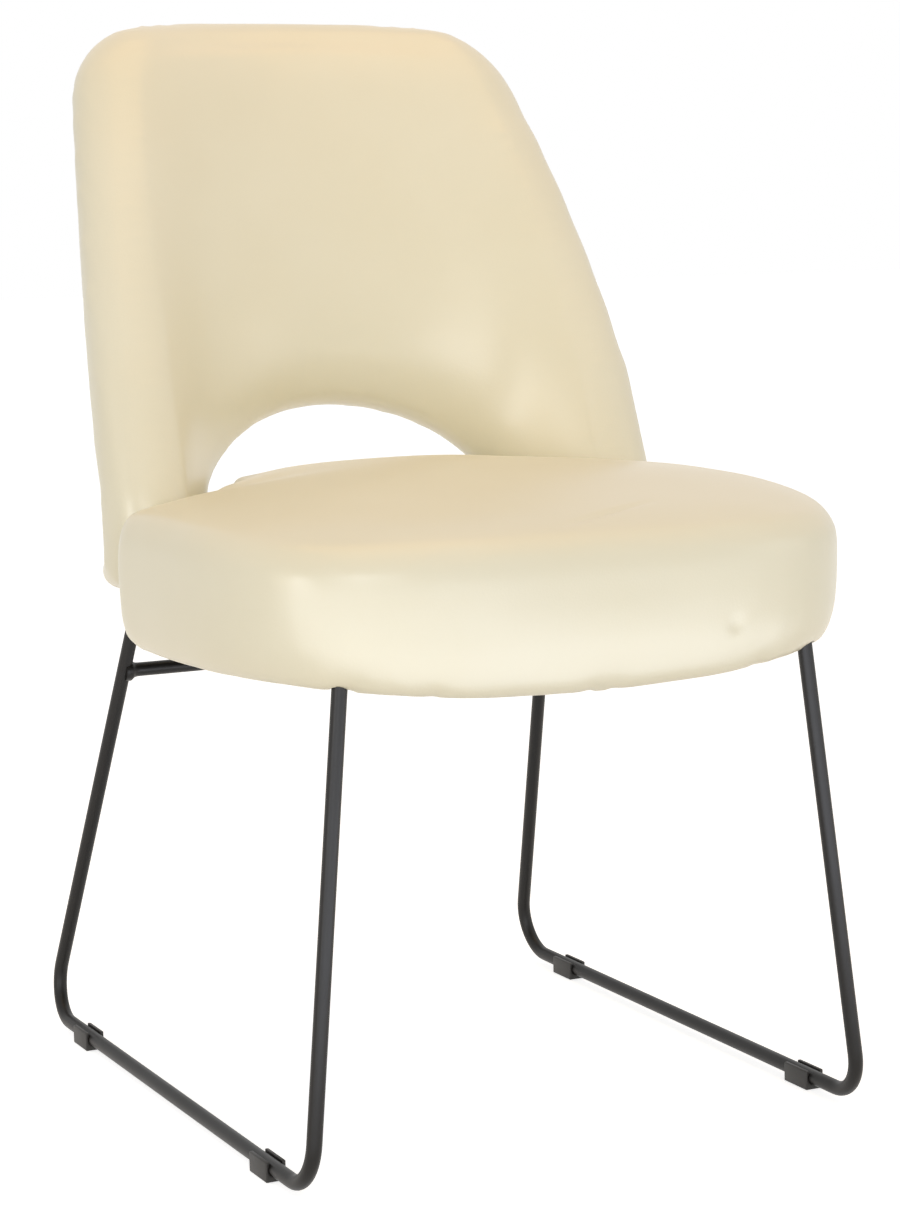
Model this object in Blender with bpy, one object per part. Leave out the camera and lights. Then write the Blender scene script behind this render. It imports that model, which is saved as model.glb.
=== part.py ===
"""Sled base dining chair: a padded wrap-round back and a deep seat on a bent steel rod frame.

Metres, +Z up. The origin is on the floor under the middle of the sled, and the sitter faces -Y.
"""
import math

import bmesh
import bpy
from mathutils import Matrix, Vector

# Clearances
FIT_GAP = 0.0003                # between pieces that touch
SOFT_GAP = 0.0030               # between the seat cushion and the wings of the back

# Sled rods
ROD_DIAMETER = 0.011
RUNNER_SPACING = 0.437          # between the two runners' centre lines
SLED_LENGTH = 0.542             # between the corners where leg and runner lines meet
BEND_RADIUS = 0.032             # on the rod's centre line
LOOP_LEAN = math.radians(6.2)   # each loop leans in towards the seat
FRONT_LEG_RAKE = math.radians(2.6)
REAR_LEG_RAKE = math.radians(21.3)
ROD_SIDES = 16
BEND_STEPS = 8

# Rear cross bar
CROSS_BAR_HEIGHT = 0.305
WELD_FILLET = 0.0028

# Glides
GLIDE_LENGTH = 0.031
GLIDE_WALL = 0.0017
GLIDE_SOLE = 0.0032
GLIDE_LIP = 0.0010
GLIDE_EDGE = 0.0005
FRONT_GLIDE_SETBACK = 0.077     # from the sled's front corner to the middle of the glide
REAR_GLIDE_SETBACK = 0.091

# Seat base, dust cover and what is bolted to them
SEAT_BASE_HEIGHT = 0.360        # underside of the plywood
SEAT_BASE_THICKNESS = 0.015
SEAT_BASE_WIDTH = 0.456
SEAT_BASE_WAIST = 0.276         # width between the wings
SEAT_BASE_CORNER = 0.090
SEAT_BASE_MARGIN = 0.012        # ahead of the front legs
DUST_COVER_THICKNESS = 0.0008
BAR_WIDTH = 0.030
BAR_THICKNESS = 0.005
BAR_OVERHANG = 0.008            # past the centre of the leg it is welded to
BAR_CORNER = 0.012
BAR_EDGE = 0.0008
SEAT_BOLT_SPACING = 0.150

# Fasteners
BOLT_DIAMETER = 0.0058
BOLT_HEAD_DIAMETER = 0.0115
BOLT_HEAD_HEIGHT = 0.0036
BOLT_HOLE_PLAY = 0.0006         # on the diameter
TEE_NUT_WALL = 0.0010
TEE_NUT_FLANGE = 0.018
TEE_NUT_FLANGE_THICKNESS = 0.0012
SCREW_DIAMETER = 0.0045
SCREW_HEAD_DIAMETER = 0.0085
SCREW_HEAD_HEIGHT = 0.0026
SCREW_POINT_MARGIN = 0.0010     # left in the core past the screw's end
FASTENER_SIDES = 14

# Seat cushion
SEAT_WIDTH = 0.494
SEAT_FRONT = -0.299
SEAT_REAR = 0.150
SEAT_TONGUE_HALF = 0.105        # half width of the part that reaches back through the arch
SEAT_TONGUE_CORNER = 0.025
SEAT_WIDEST = -0.055            # where the plan is widest
SEAT_SQUARENESS = 3.8           # exponent of the plan curve ahead of the widest place
SEAT_SHOULDER_RADIUS = 0.035    # plan corners ahead of the wings
SEAT_NOTCH_RADIUS = 0.012       # plan corners inside the wings
SEAT_SHOULDER_SHARE = 0.60      # share of the rolls round the shoulders
SEAT_REAR_SHARE = 0.28          # and along the rear
SEAT_EDGE_RISE = 0.0965         # of the edge where the top starts to crown, above the seat base's underside
SEAT_CROWN = 0.0220
SEAT_SHOULDER_FALL = 0.009      # of the top edge at the shoulders
SEAT_TOP_ROLL = 0.040           # how far the top edge is drawn in
SEAT_TOP_ROLL_DEPTH = 0.032
SEAT_LOW_ROLL = 0.015           # how far the lower edge is drawn in
SEAT_LOW_ROLL_DEPTH = 0.036
SEAT_LIP_SHARE = 0.15           # width of the rolled rim seen from below, as a share of the plan
SEAT_SIDE_DROP = 0.012          # the rim hangs below the base at the sides
SEAT_FRONT_DROP = 0.021         # and further towards the middle of the front
SEAT_NOSE_STEPS = 13
SEAT_REAR_STEPS = 12

# Back: a flat pattern, bent round the sitter
BACK_THICKNESS = 0.068
BACK_DEPTH = 0.1698             # the back's middle from the chair's centre, level with the seat's steel
BACK_SWEEP_RADIUS = 0.961       # the back is upright there and curves away to the rear above it
BACK_MIDDLE_RADIUS = 0.315
BACK_MIDDLE_HALF = 0.1376       # along the curve
BACK_CORNER_RADIUS = 0.1097
BACK_TURN = math.radians(81.5)  # how far round the wing has turned
BACK_CROWN = 0.006

# Back pattern: half distances along the curve and rises above the wing's foot, on the middle of the padding
FOOT_RISE = 0.0328              # of the foot above the underside of the seat base
PATTERN_RISE = 0.3824
PATTERN_TOP_HALF = 0.1593
PATTERN_TOP_FALL = 0.0023
PATTERN_TOP_CORNER = 0.026
PATTERN_KNEE_HALF = 0.250       # where the wing's edge turns upright
PATTERN_KNEE_RISE = 0.050
PATTERN_KNEE_RADIUS = 0.200
FOOT_TUCK = 0.0054              # the foot's front lies this far inside the knee
PATTERN_FOOT_CORNER = 0.0165
ARCH_HALF = 0.1826
ARCH_RISE = 0.1464
FOOT_EDGE = 0.010               # padding below the pattern's edge at the wing's foot
ARCH_STEPS = 7
WING_STEPS = 6
ROUND_EDGE = 2.0                # exponents of the rolled edge's section
SQUARE_EDGE = 6.0

# Back layers
CORE_THICKNESS = 0.009
CORE_OFFSET = 0.018             # the core lies this far outside the middle of the padding
PANEL_BAND = 0.010              # rolled edge that shows round the outer panel
PANEL_SIDE_GAP = 0.0012         # between the sides of the padding's recess and the layers in it
RECESS_GAP = 0.0007             # between the recess's bent floor and the core
PANEL_RECESS = 0.002
PANEL_CROWN = 0.004

# Back brackets
BRACKET_WIDTH = 0.025
BRACKET_THICKNESS = 0.004
BRACKET_REACH = 0.115           # under the seat base, from the upright's outer face
BRACKET_RISE = 0.055            # above the wing's foot
BRACKET_BEND = 0.006
STRAP_GAP = 0.0022              # between the strap and the core it is screwed to
BRACKET_BOLT_PITCH = 0.024
BRACKET_BOLT_MARGIN = 0.012
BRACKET_SCREW_PITCH = 0.022

# Worked out from the above
ROD_RADIUS = ROD_DIAMETER / 2
RUNNER_HEIGHT = GLIDE_SOLE + FIT_GAP + ROD_RADIUS
COVER_UNDERSIDE = SEAT_BASE_HEIGHT - FIT_GAP - DUST_COVER_THICKNESS
STEEL_TOP = COVER_UNDERSIDE - FIT_GAP
BAR_UNDERSIDE = STEEL_TOP - BAR_THICKNESS
LEG_TOP = BAR_UNDERSIDE - FIT_GAP
SEAT_BASE_TOP = SEAT_BASE_HEIGHT + SEAT_BASE_THICKNESS
SEAT_EDGE_HEIGHT = SEAT_BASE_HEIGHT + SEAT_EDGE_RISE
BACK_UPRIGHT_HEIGHT = STEEL_TOP
HALF_PADDING = BACK_THICKNESS / 2
CORE_INNER = CORE_OFFSET - CORE_THICKNESS / 2
CORE_OUTER = CORE_OFFSET + CORE_THICKNESS / 2
PATTERN_FOOT_HALF = PATTERN_KNEE_HALF - FOOT_TUCK
PATTERN_FOOT_HEIGHT = SEAT_BASE_HEIGHT + FOOT_RISE
PATTERN_TOP = PATTERN_FOOT_HEIGHT + PATTERN_RISE
BRACKET_PLACE = (ARCH_HALF + PATTERN_FOOT_HALF) / 2     # along the curve, in the middle of the wing's foot
STRAP_FACE = CORE_INNER - (BRACKET_WIDTH / 2) ** 2 / (2 * BACK_CORNER_RADIUS) - STRAP_GAP


def clear_scene():
    """Empties the scene."""
    for old in list(bpy.data.objects):
        bpy.data.objects.remove(old, do_unlink=True)


def finish(name, hex_colour, roughness, metallic=0.0):
    """A plain material from an sRGB hex colour."""
    made = bpy.data.materials.new(name)
    made.use_nodes = True
    shader = made.node_tree.nodes["Principled BSDF"]
    srgb = [int(hex_colour[i:i + 2], 16) / 255 for i in (1, 3, 5)]
    linear = [c / 12.92 if c <= 0.04045 else ((c + 0.055) / 1.055) ** 2.4 for c in srgb]
    shader.inputs["Base Color"].default_value = (*linear, 1.0)
    shader.inputs["Roughness"].default_value = roughness
    shader.inputs["Metallic"].default_value = metallic
    return made


def make_object(name, points, faces, material, parent=None, smooth_angle=40):
    """Builds one closed mesh object with merged points and outward faces."""
    mesh = bpy.data.meshes.new(name)
    mesh.from_pydata([tuple(p) for p in points], [], faces)
    shape = bmesh.new()
    shape.from_mesh(mesh)
    bmesh.ops.remove_doubles(shape, verts=shape.verts, dist=1e-6)
    bmesh.ops.recalc_face_normals(shape, faces=shape.faces)
    if shape.calc_volume(signed=True) < 0:
        bmesh.ops.reverse_faces(shape, faces=shape.faces)
    shape.to_mesh(mesh)
    shape.free()
    mesh.shade_smooth()
    mesh.set_sharp_from_angle(angle=math.radians(smooth_angle))
    made = bpy.data.objects.new(name, mesh)
    made.parent = parent
    if material:
        mesh.materials.append(material)
    bpy.context.collection.objects.link(made)
    return made


def make_cutter(name, points, faces, parent=None):
    """A hidden tool body for a Boolean cut."""
    tool = make_object(name, points, faces, None, parent)
    tool.hide_render = True
    tool.display_type = "WIRE"
    return tool


def cut(target, tool):
    """Cuts a tool body out of an object."""
    step = target.modifiers.new("cut_" + tool.name, "BOOLEAN")
    step.operation = "DIFFERENCE"
    step.solver = "EXACT"
    step.object = tool


def soften(target, width):
    """Rounds an object's sharp edges."""
    step = target.modifiers.new("edges", "BEVEL")
    step.width = width
    step.segments = 1
    step.limit_method = "ANGLE"
    step.angle_limit = math.radians(50)


def ring_faces(ring_count, per_ring, closed=False):
    """Quads between rings of points; a closed set joins its last ring to its first."""
    faces = []
    for i in range(ring_count if closed else ring_count - 1):
        here = i * per_ring
        after = (i + 1) % ring_count * per_ring
        for k in range(per_ring):
            following = (k + 1) % per_ring
            faces.append((here + k, here + following, after + following, after + k))
    return faces


def stack_rings(rings):
    """A closed body from a stack of rings, with flat ends."""
    per_ring = len(rings[0])
    faces = ring_faces(len(rings), per_ring)
    faces.append(tuple(range(per_ring)))
    faces.append(tuple(range((len(rings) - 1) * per_ring, len(rings) * per_ring)))
    return [p for ring in rings for p in ring], faces


def turned(profile, sides):
    """A turned body about Z from (radius, height) pairs that start and end on the axis."""
    turns = [2 * math.pi * k / sides for k in range(sides)]
    rings = [[(r * math.cos(a), r * math.sin(a), z) for a in turns] for r, z in profile[1:-1]]
    points, faces = stack_rings(rings)
    return points, faces


def turned_ring(profile, sides):
    """A turned ring about Z from a closed section of (radius, height) pairs."""
    turns = [2 * math.pi * k / sides for k in range(sides)]
    rings = [[(r * math.cos(a), r * math.sin(a), z) for r, z in profile] for a in turns]
    return [p for ring in rings for p in ring], ring_faces(sides, len(profile), closed=True)


def prism(outline, low, high):
    """An upright prism over a plan outline."""
    return stack_rings([[(x, y, z) for x, y in outline] for z in (low, high)])


def round_corner(before, corner, after, radius, steps):
    """Points of an arc that rounds one corner of a path, in two or three dimensions."""
    back = (before - corner).normalized()
    ahead = (after - corner).normalized()
    half = back.angle(ahead) / 2
    middle = corner + (back + ahead).normalized() * (radius / math.sin(half))
    start = corner + back * (radius / math.tan(half)) - middle
    end = corner + ahead * (radius / math.tan(half)) - middle
    sweep = start.angle(end)
    points = []
    for k in range(steps + 1):
        share = k / steps
        points.append(middle + (start * math.sin((1 - share) * sweep) + end * math.sin(share * sweep))
                      / math.sin(sweep))
    return points


def rounded_outline(corners, steps=5):
    """A closed plan outline from (x, y, radius) corners."""
    outline = []
    for k, (x, y, radius) in enumerate(corners):
        before = Vector(corners[k - 1][:2])
        after = Vector(corners[(k + 1) % len(corners)][:2])
        outline += round_corner(before, Vector((x, y)), after, radius, steps)
    return [tuple(p) for p in outline]


def mirrored(corners):
    """Completes a right-hand half outline, listed front to rear, with its mirror image."""
    return corners + [(-x, y, radius) for x, y, radius in reversed(corners)]


def tube(path, radii, end_height=None):
    """A round rod along a flat path; its ends can be cut level at one height."""
    path = [Vector(p) for p in path]
    across = (path[1] - path[0]).cross(path[-1] - path[-2])
    if across.length < 1e-9:
        across = (path[1] - path[0]).orthogonal()
    across.normalize()
    rings = []
    for i, centre in enumerate(path):
        ahead = path[min(i + 1, len(path) - 1)] - centre
        behind = centre - path[max(i - 1, 0)]
        along = (ahead.normalized() + behind.normalized()).normalized()
        other = along.cross(across).normalized()
        ring = []
        for k in range(ROD_SIDES):
            turn = 2 * math.pi * (k + 0.5) / ROD_SIDES
            point = centre + (across * math.cos(turn) + other * math.sin(turn)) * radii[i]
            if end_height is not None and i in (0, len(path) - 1):
                point += along * ((end_height - point.z) / along.z)
            ring.append(point)
        rings.append(ring)
    return stack_rings(rings)


def leg_direction(side, rake):
    """Direction of a leg going up: it leans in, and to the rear by its rake."""
    return Vector((-side * math.tan(LOOP_LEAN), math.tan(rake), 1.0))


def leg_point(side, front, height):
    """Point on a leg's centre line at a height."""
    rake = FRONT_LEG_RAKE if front else -REAR_LEG_RAKE
    end = -SLED_LENGTH / 2 if front else SLED_LENGTH / 2
    corner = Vector((side * RUNNER_SPACING / 2, end, RUNNER_HEIGHT))
    return corner + leg_direction(side, rake) * (height - RUNNER_HEIGHT)


def sled_rod(name, side, coat):
    """One bent rod: front leg, runner and rear leg."""
    tops = [leg_point(side, front, LEG_TOP) for front in (True, False)]
    corners = [leg_point(side, front, RUNNER_HEIGHT) for front in (True, False)]
    path = [tops[0]]
    path += round_corner(tops[0], corners[0], corners[1], BEND_RADIUS, BEND_STEPS)
    path += round_corner(corners[0], corners[1], tops[1], BEND_RADIUS, BEND_STEPS)
    path.append(tops[1])
    return make_object(name, *tube(path, [ROD_RADIUS] * len(path), LEG_TOP), coat)


def rear_cross_bar(coat):
    """The bar between the rear legs, flared by its weld fillets and coped to the rods."""
    ends = [leg_point(side, False, CROSS_BAR_HEIGHT) for side in (-1, 1)]
    reach = ends[1].x
    weld_face = reach - ROD_RADIUS
    stations = [-reach, -weld_face, -weld_face + WELD_FILLET / 2, -weld_face + 2 * WELD_FILLET]
    flares = [WELD_FILLET, WELD_FILLET, WELD_FILLET / 3, 0.0]
    path = [(x, ends[0].y, CROSS_BAR_HEIGHT) for x in stations + [-x for x in reversed(stations)]]
    bar = make_object("rear_cross_bar", *tube(path, [ROD_RADIUS + f for f in flares + flares[::-1]]), coat)
    for side in (-1, 1):
        low, high = (leg_point(side, False, CROSS_BAR_HEIGHT + step) for step in (-BEND_RADIUS, BEND_RADIUS))
        cut(bar, make_cutter(f"cope_{side}", *tube([low, high], [ROD_RADIUS + FIT_GAP] * 2)))
    return bar


def glide(name, side, middle, plastic):
    """A channel clipped under the runner, with a round bed and snap lips."""
    bed = ROD_RADIUS + FIT_GAP
    wall = bed + GLIDE_WALL
    top = GLIDE_SOLE + bed + ROD_RADIUS
    bed_turns = [math.pi * k / 8 for k in range(9)]
    inside = [(bed * math.cos(a), GLIDE_SOLE + bed - bed * math.sin(a)) for a in bed_turns]
    lip_start = top - 2 * GLIDE_LIP
    mouth = bed - GLIDE_LIP
    right = [(-wall, 0.0), (wall, 0.0), (wall, top), (mouth, top), (mouth, top - GLIDE_LIP), (bed, lip_start)]
    left = [(-bed, lip_start), (-mouth, top - GLIDE_LIP), (-mouth, top), (-wall, top)]
    section = right + inside + left
    rings = [[(x, y, z) for x, z in section] for y in (-GLIDE_LENGTH / 2, GLIDE_LENGTH / 2)]
    made = make_object(name, *stack_rings(rings), plastic)
    made.location = (side * RUNNER_SPACING / 2, middle, 0.0)
    soften(made, GLIDE_EDGE)
    return made


def bar_line(front):
    """Centre line of a mounting bar: the leg it carries stands near its outer edge."""
    leg = leg_point(1, front, LEG_TOP).y
    shift = BAR_WIDTH / 2 - ROD_RADIUS
    return leg + shift if front else leg - shift


def bar_half_length():
    """Half the length of a mounting bar."""
    return leg_point(1, True, LEG_TOP).x + BAR_OVERHANG


def mounting_bar(name, front, coat, holes):
    """A flat bar across the tops of two legs, drilled for the seat bolts."""
    half, line = bar_half_length(), bar_line(front)
    corners = [(half, line - BAR_WIDTH / 2, BAR_CORNER), (half, line + BAR_WIDTH / 2, BAR_CORNER)]
    bar = make_object(name, *prism(rounded_outline(mirrored(corners)), BAR_UNDERSIDE, STEEL_TOP), coat)
    soften(bar, BAR_EDGE)
    for hole in holes:
        cut(bar, hole)
    return bar


def seat_base_outline(grow):
    """Plan of the plywood base, or of the space for it when grown."""
    half = SEAT_BASE_WIDTH / 2 + grow
    waist = SEAT_BASE_WAIST / 2 + grow
    front = leg_point(1, True, LEG_TOP).y - ROD_RADIUS - SEAT_BASE_MARGIN - grow
    rear = bar_line(False) + BAR_WIDTH / 2 + grow
    shoulder = wing_tip() - SOFT_GAP - SEAT_LOW_ROLL + grow
    tongue = SEAT_TONGUE_HALF - SEAT_LOW_ROLL + grow
    neck = rear - BAR_WIDTH - BAR_CORNER
    return rounded_outline(mirrored([(half, front, SEAT_BASE_CORNER), (half, shoulder, SEAT_SHOULDER_RADIUS),
                                     (waist, shoulder, SEAT_NOTCH_RADIUS), (waist, neck, SEAT_NOTCH_RADIUS),
                                     (tongue, neck, SEAT_NOTCH_RADIUS), (tongue, rear, SEAT_NOTCH_RADIUS)]))


def plan_curve(along):
    """Plan of the bent back at a distance along it: x, y behind the middle, and the way it faces."""
    side = math.copysign(1.0, along)
    run = abs(along)
    turn_middle = BACK_MIDDLE_HALF / BACK_MIDDLE_RADIUS
    corner_run = (BACK_TURN - turn_middle) * BACK_CORNER_RADIUS
    turn = min(run, BACK_MIDDLE_HALF) / BACK_MIDDLE_RADIUS
    x = BACK_MIDDLE_RADIUS * math.sin(turn)
    y = BACK_MIDDLE_RADIUS * (math.cos(turn) - 1)
    if run > BACK_MIDDLE_HALF:
        turn = turn_middle + min(run - BACK_MIDDLE_HALF, corner_run) / BACK_CORNER_RADIUS
        x += BACK_CORNER_RADIUS * (math.sin(turn) - math.sin(turn_middle))
        y += BACK_CORNER_RADIUS * (math.cos(turn) - math.cos(turn_middle))
    straight = max(run - BACK_MIDDLE_HALF - corner_run, 0.0)
    x += straight * math.cos(turn)
    y -= straight * math.sin(turn)
    return side * x, y, side * turn


def bend(along, height, out):
    """Place in the chair of a point of the flat pattern, set out from it by a distance."""
    x, y, turn = plan_curve(along)
    rise = height - BACK_UPRIGHT_HEIGHT
    swept = math.sqrt(BACK_SWEEP_RADIUS ** 2 - rise ** 2)
    slope = rise / swept
    facing = Vector((math.sin(turn), math.cos(turn), -slope * math.cos(turn))).normalized()
    return Vector((x, BACK_DEPTH + y + BACK_SWEEP_RADIUS - swept, height)) + facing * out


def wing_tip():
    """Foremost place of the wings' rolled edge at the seat."""
    return bend(PATTERN_FOOT_HALF + HALF_PADDING, PATTERN_FOOT_HEIGHT, 0.0).y


def spread(first, last, count):
    """Points from one place to another, the last left out."""
    return [first.lerp(last, k / count) for k in range(count)]


def half_pattern():
    """Right half of the back's edge in three runs: along the top, down the wing, and under it to the arch."""
    top = Vector((0.0, PATTERN_TOP))
    top_corner = Vector((PATTERN_TOP_HALF, PATTERN_TOP - PATTERN_TOP_FALL))
    knee = Vector((PATTERN_KNEE_HALF, PATTERN_FOOT_HEIGHT + PATTERN_KNEE_RISE))
    foot = Vector((PATTERN_FOOT_HALF, PATTERN_FOOT_HEIGHT))
    heel = Vector((ARCH_HALF, PATTERN_FOOT_HEIGHT))
    arch_turns = [math.pi / 2 * k / ARCH_STEPS for k in range(ARCH_STEPS + 1)]
    arch = [heel + Vector((ARCH_HALF * (math.cos(a) - 1), ARCH_RISE * math.sin(a))) for a in arch_turns]
    corner = round_corner(top, top_corner, knee, PATTERN_TOP_CORNER, 6)
    knee_arc = round_corner(top_corner, knee, foot, PATTERN_KNEE_RADIUS, 2)
    toe = round_corner(knee, foot, heel, PATTERN_FOOT_CORNER, 4)
    heel_arc = round_corner(foot, heel, arch[1], PATTERN_FOOT_CORNER, 3)
    down_wing = corner[3:6] + spread(corner[6], knee_arc[0], WING_STEPS) + [knee_arc[1], toe[0], toe[2]]
    under = toe[2:4] + spread(toe[4], heel_arc[0], 2) + heel_arc + arch[2:]
    along_top = spread(top, corner[0], len(under) - 4) + corner[:4]
    return along_top, down_wing, under


def flip(points):
    """Mirror image of pattern points."""
    return [Vector((-p.x, p.y)) for p in points]


def outward(loop):
    """Outward directions at the points of a closed loop that runs anticlockwise."""
    normals = []
    for k in range(len(loop)):
        along = loop[(k + 1) % len(loop)] - loop[k - 1]
        normals.append(Vector((along.y, -along.x)).normalized())
    return normals


def length_shares(points):
    """How far along a run each of its points lies, from 0 to 1."""
    runs = [0.0]
    for here, after in zip(points, points[1:]):
        runs.append(runs[-1] + (after - here).length)
    return [run / runs[-1] for run in runs]


class Pattern:
    """The back's flat edge as one closed loop, with a grid of points inside it."""

    def __init__(self):
        along_top, down_wing, under = half_pattern()
        self.across = 2 * (len(along_top) - 1)
        self.up = len(down_wing) - 1
        rising = down_wing[::-1]
        bottom = flip(under) + under[::-1][1:]
        top = along_top[::-1] + flip(along_top)[1:]
        self.loop = bottom + rising[1:] + top[1:] + flip(down_wing)[1:-1]
        self.normals = outward(self.loop)
        foot = PATTERN_FOOT_HEIGHT + PATTERN_FOOT_CORNER
        self.at_foot = [ease(-n.y) if p.y < foot else 0.0 for p, n in zip(self.loop, self.normals)]

    def grown(self, distances):
        """The loop set out by a distance at each of its points."""
        return [p + n * d for p, n, d in zip(self.loop, self.normals, distances)]

    def grid(self, distance):
        """A grid inside the loop set out by one distance, blended from its four sides."""
        loop = self.grown([distance] * len(self.loop))
        bottom = loop[:self.across + 1]
        right = loop[self.across:self.across + self.up + 1]
        top = loop[self.across + self.up:2 * self.across + self.up + 1][::-1]
        left = ([loop[0]] + loop[2 * self.across + self.up:][::-1])
        low_shares, top_shares, side_shares = (length_shares(edge) for edge in (bottom, top, right))
        rows = []
        for i in range(self.across + 1):
            row = []
            for j, v in enumerate(side_shares):
                u = low_shares[i] * (1 - v) + top_shares[i] * v
                sides = bottom[i].lerp(top[i], v) + left[j].lerp(right[j], u)
                corners = bottom[0].lerp(bottom[-1], u).lerp(top[0].lerp(top[-1], u), v)
                row.append(sides - corners)
            rows.append(row)
        return rows


def crown_share(u, v):
    """Fullness of a pad across its grid: none at the edge, all of it inside."""
    return (1 - (2 * u - 1) ** 4) * (1 - (2 * v - 1) ** 4)


def pattern_sheet(pattern, inset, out, crown):
    """Points and triangles of one bent sheet of the pattern; sheets that lie together fold alike."""
    rows = pattern.grid(-inset)
    points = []
    for i, row in enumerate(rows):
        for j, p in enumerate(row):
            full = crown * crown_share(i / pattern.across, j / pattern.up)
            points.append(bend(p.x, p.y, out + full))
    step = pattern.up + 1
    faces = []
    for i in range(pattern.across):
        for j in range(pattern.up):
            a, b = i * step + j, (i + 1) * step + j
            if i < pattern.across / 2:
                faces += [(a, b, b + 1), (a, b + 1, a + 1)]
            else:
                faces += [(a, b, a + 1), (b, b + 1, a + 1)]
    return points, faces


def bent_rings(pattern, section):
    """Rings round the pattern's edge; the section gives each ring's distances out and across."""
    rings = []
    for grow, out in section:
        loop = pattern.grown(grow)
        rings.append([bend(p.x, p.y, o) for p, o in zip(loop, out)])
    return [p for ring in rings for p in ring], ring_faces(len(rings), len(pattern.loop))


def join_shapes(*shapes):
    """Puts several sets of points and faces into one."""
    points, faces = [], []
    for some_points, some_faces in shapes:
        start = len(points)
        points += some_points
        faces += [tuple(start + k for k in face) for face in some_faces]
    return points, faces


def even(pattern, value):
    """The same value all round the pattern's edge."""
    return [value] * len(pattern.loop)


def back_pad(pattern, vinyl):
    """The sitter's side of the back: its crowned face, the rolled edge and the recess for core and panel."""
    section = []
    for k in range(6):
        turn = math.radians(-90 + 36 * k)
        grow, out = [], []
        for foot in pattern.at_foot:
            power = 2 / (ROUND_EDGE + (SQUARE_EDGE - ROUND_EDGE) * foot)
            reach = HALF_PADDING + (FOOT_EDGE - HALF_PADDING) * foot
            grow.append(reach * max(math.cos(turn), 0.0) ** power)
            out.append(math.copysign(abs(math.sin(turn)) ** power, turn) * HALF_PADDING)
        section.append((grow, out))
    floor = CORE_INNER - RECESS_GAP
    section.append((even(pattern, -PANEL_BAND), even(pattern, HALF_PADDING)))
    section.append((even(pattern, -PANEL_BAND), even(pattern, floor)))
    face = pattern_sheet(pattern, 0.0, -HALF_PADDING, -BACK_CROWN)
    recess = pattern_sheet(pattern, PANEL_BAND, floor, 0.0)
    return make_object("back_pad", *join_shapes(face, bent_rings(pattern, section), recess), vinyl)


def back_layer(name, pattern, inner, edge, crown, material):
    """A bent sheet that lies in the back pad's recess."""
    inset = PANEL_BAND + PANEL_SIDE_GAP
    shapes = [pattern_sheet(pattern, inset, inner, 0.0), pattern_sheet(pattern, inset, edge, crown)]
    section = [(even(pattern, -inset), even(pattern, out)) for out in (inner, edge)]
    return make_object(name, *join_shapes(*shapes, bent_rings(pattern, section)), material)


def seat_half_plan():
    """Right half of the seat's plan from the middle of the front: nose and side, shoulder, then the rear."""
    half = SEAT_WIDTH / 2
    power = 2 / SEAT_SQUARENESS
    reach = SEAT_WIDEST - SEAT_FRONT
    nose = []
    for k in range(SEAT_NOSE_STEPS + 1):
        turn = math.pi / 2 * k / SEAT_NOSE_STEPS
        ahead = max(math.cos(turn), 0.0) ** power
        nose.append(Vector((half * math.sin(turn) ** power, SEAT_WIDEST - reach * ahead)))
    last = PATTERN_FOOT_HALF + HALF_PADDING + SOFT_GAP
    inner = HALF_PADDING + BACK_CROWN + SOFT_GAP
    runs = [last * (1 - k / SEAT_REAR_STEPS) for k in range(SEAT_REAR_STEPS + 1)]
    along_back = [bend(run, BACK_UPRIGHT_HEIGHT, -inner).xy for run in runs]
    shoulder = Vector((half, bend(last, BACK_UPRIGHT_HEIGHT, 0.0).y))
    outer = round_corner(nose[-1], shoulder, along_back[0], SEAT_SHOULDER_RADIUS, 5)
    inside = round_corner(shoulder, along_back[0], along_back[1], SEAT_NOTCH_RADIUS, 3)
    beside_wing = [p for p in along_back[2:] if p.x > SEAT_TONGUE_HALF + SEAT_NOTCH_RADIUS]
    crossing = next(p for p in along_back if p.x <= SEAT_TONGUE_HALF)
    root = Vector((SEAT_TONGUE_HALF, crossing.y))
    rear_corner = Vector((SEAT_TONGUE_HALF, SEAT_REAR))
    rear_middle = Vector((0.0, SEAT_REAR))
    neck = round_corner(beside_wing[-1], root, rear_corner, SEAT_NOTCH_RADIUS / 2, 2)
    tongue = round_corner(root, rear_corner, rear_middle, SEAT_TONGUE_CORNER, 4)
    across = [tongue[-1].lerp(rear_middle, k / 3) for k in (1, 2, 3)]
    return nose, outer, inside + beside_wing + neck + tongue + across


class SeatPlan:
    """The seat's plan as a closed loop, with the share of each roll that every point takes."""

    def __init__(self):
        nose, outer, rear = seat_half_plan()
        half = nose + outer + rear
        fade = [1 + (SEAT_SHOULDER_SHARE - 1) * (k / len(nose)) ** 4 for k in range(len(nose))]
        step = (SEAT_REAR_SHARE - SEAT_SHOULDER_SHARE) / (len(outer) - 1)
        turn_in = [SEAT_SHOULDER_SHARE + step * k for k in range(len(outer))]
        shares = fade + turn_in + [SEAT_REAR_SHARE] * len(rear)
        self.points = half + flip(half[1:-1])[::-1]
        self.shares = shares + shares[1:-1][::-1]
        self.normals = outward(self.points)
        self.middle = Vector((0.0, SEAT_WIDEST))

    def drawn_in(self, inset):
        """The plan drawn in by a distance, by less along the shoulders and the rear."""
        return [p - n * inset * share for p, n, share in zip(self.points, self.normals, self.shares)]

    def shrunk(self, inset, share):
        """The drawn-in plan shrunk towards its middle."""
        return [p.lerp(self.middle, share) for p in self.drawn_in(inset)]


def ease(value):
    """Smooth step from 0 to 1."""
    value = min(max(value, 0.0), 1.0)
    return value * value * (3 - 2 * value)


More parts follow.
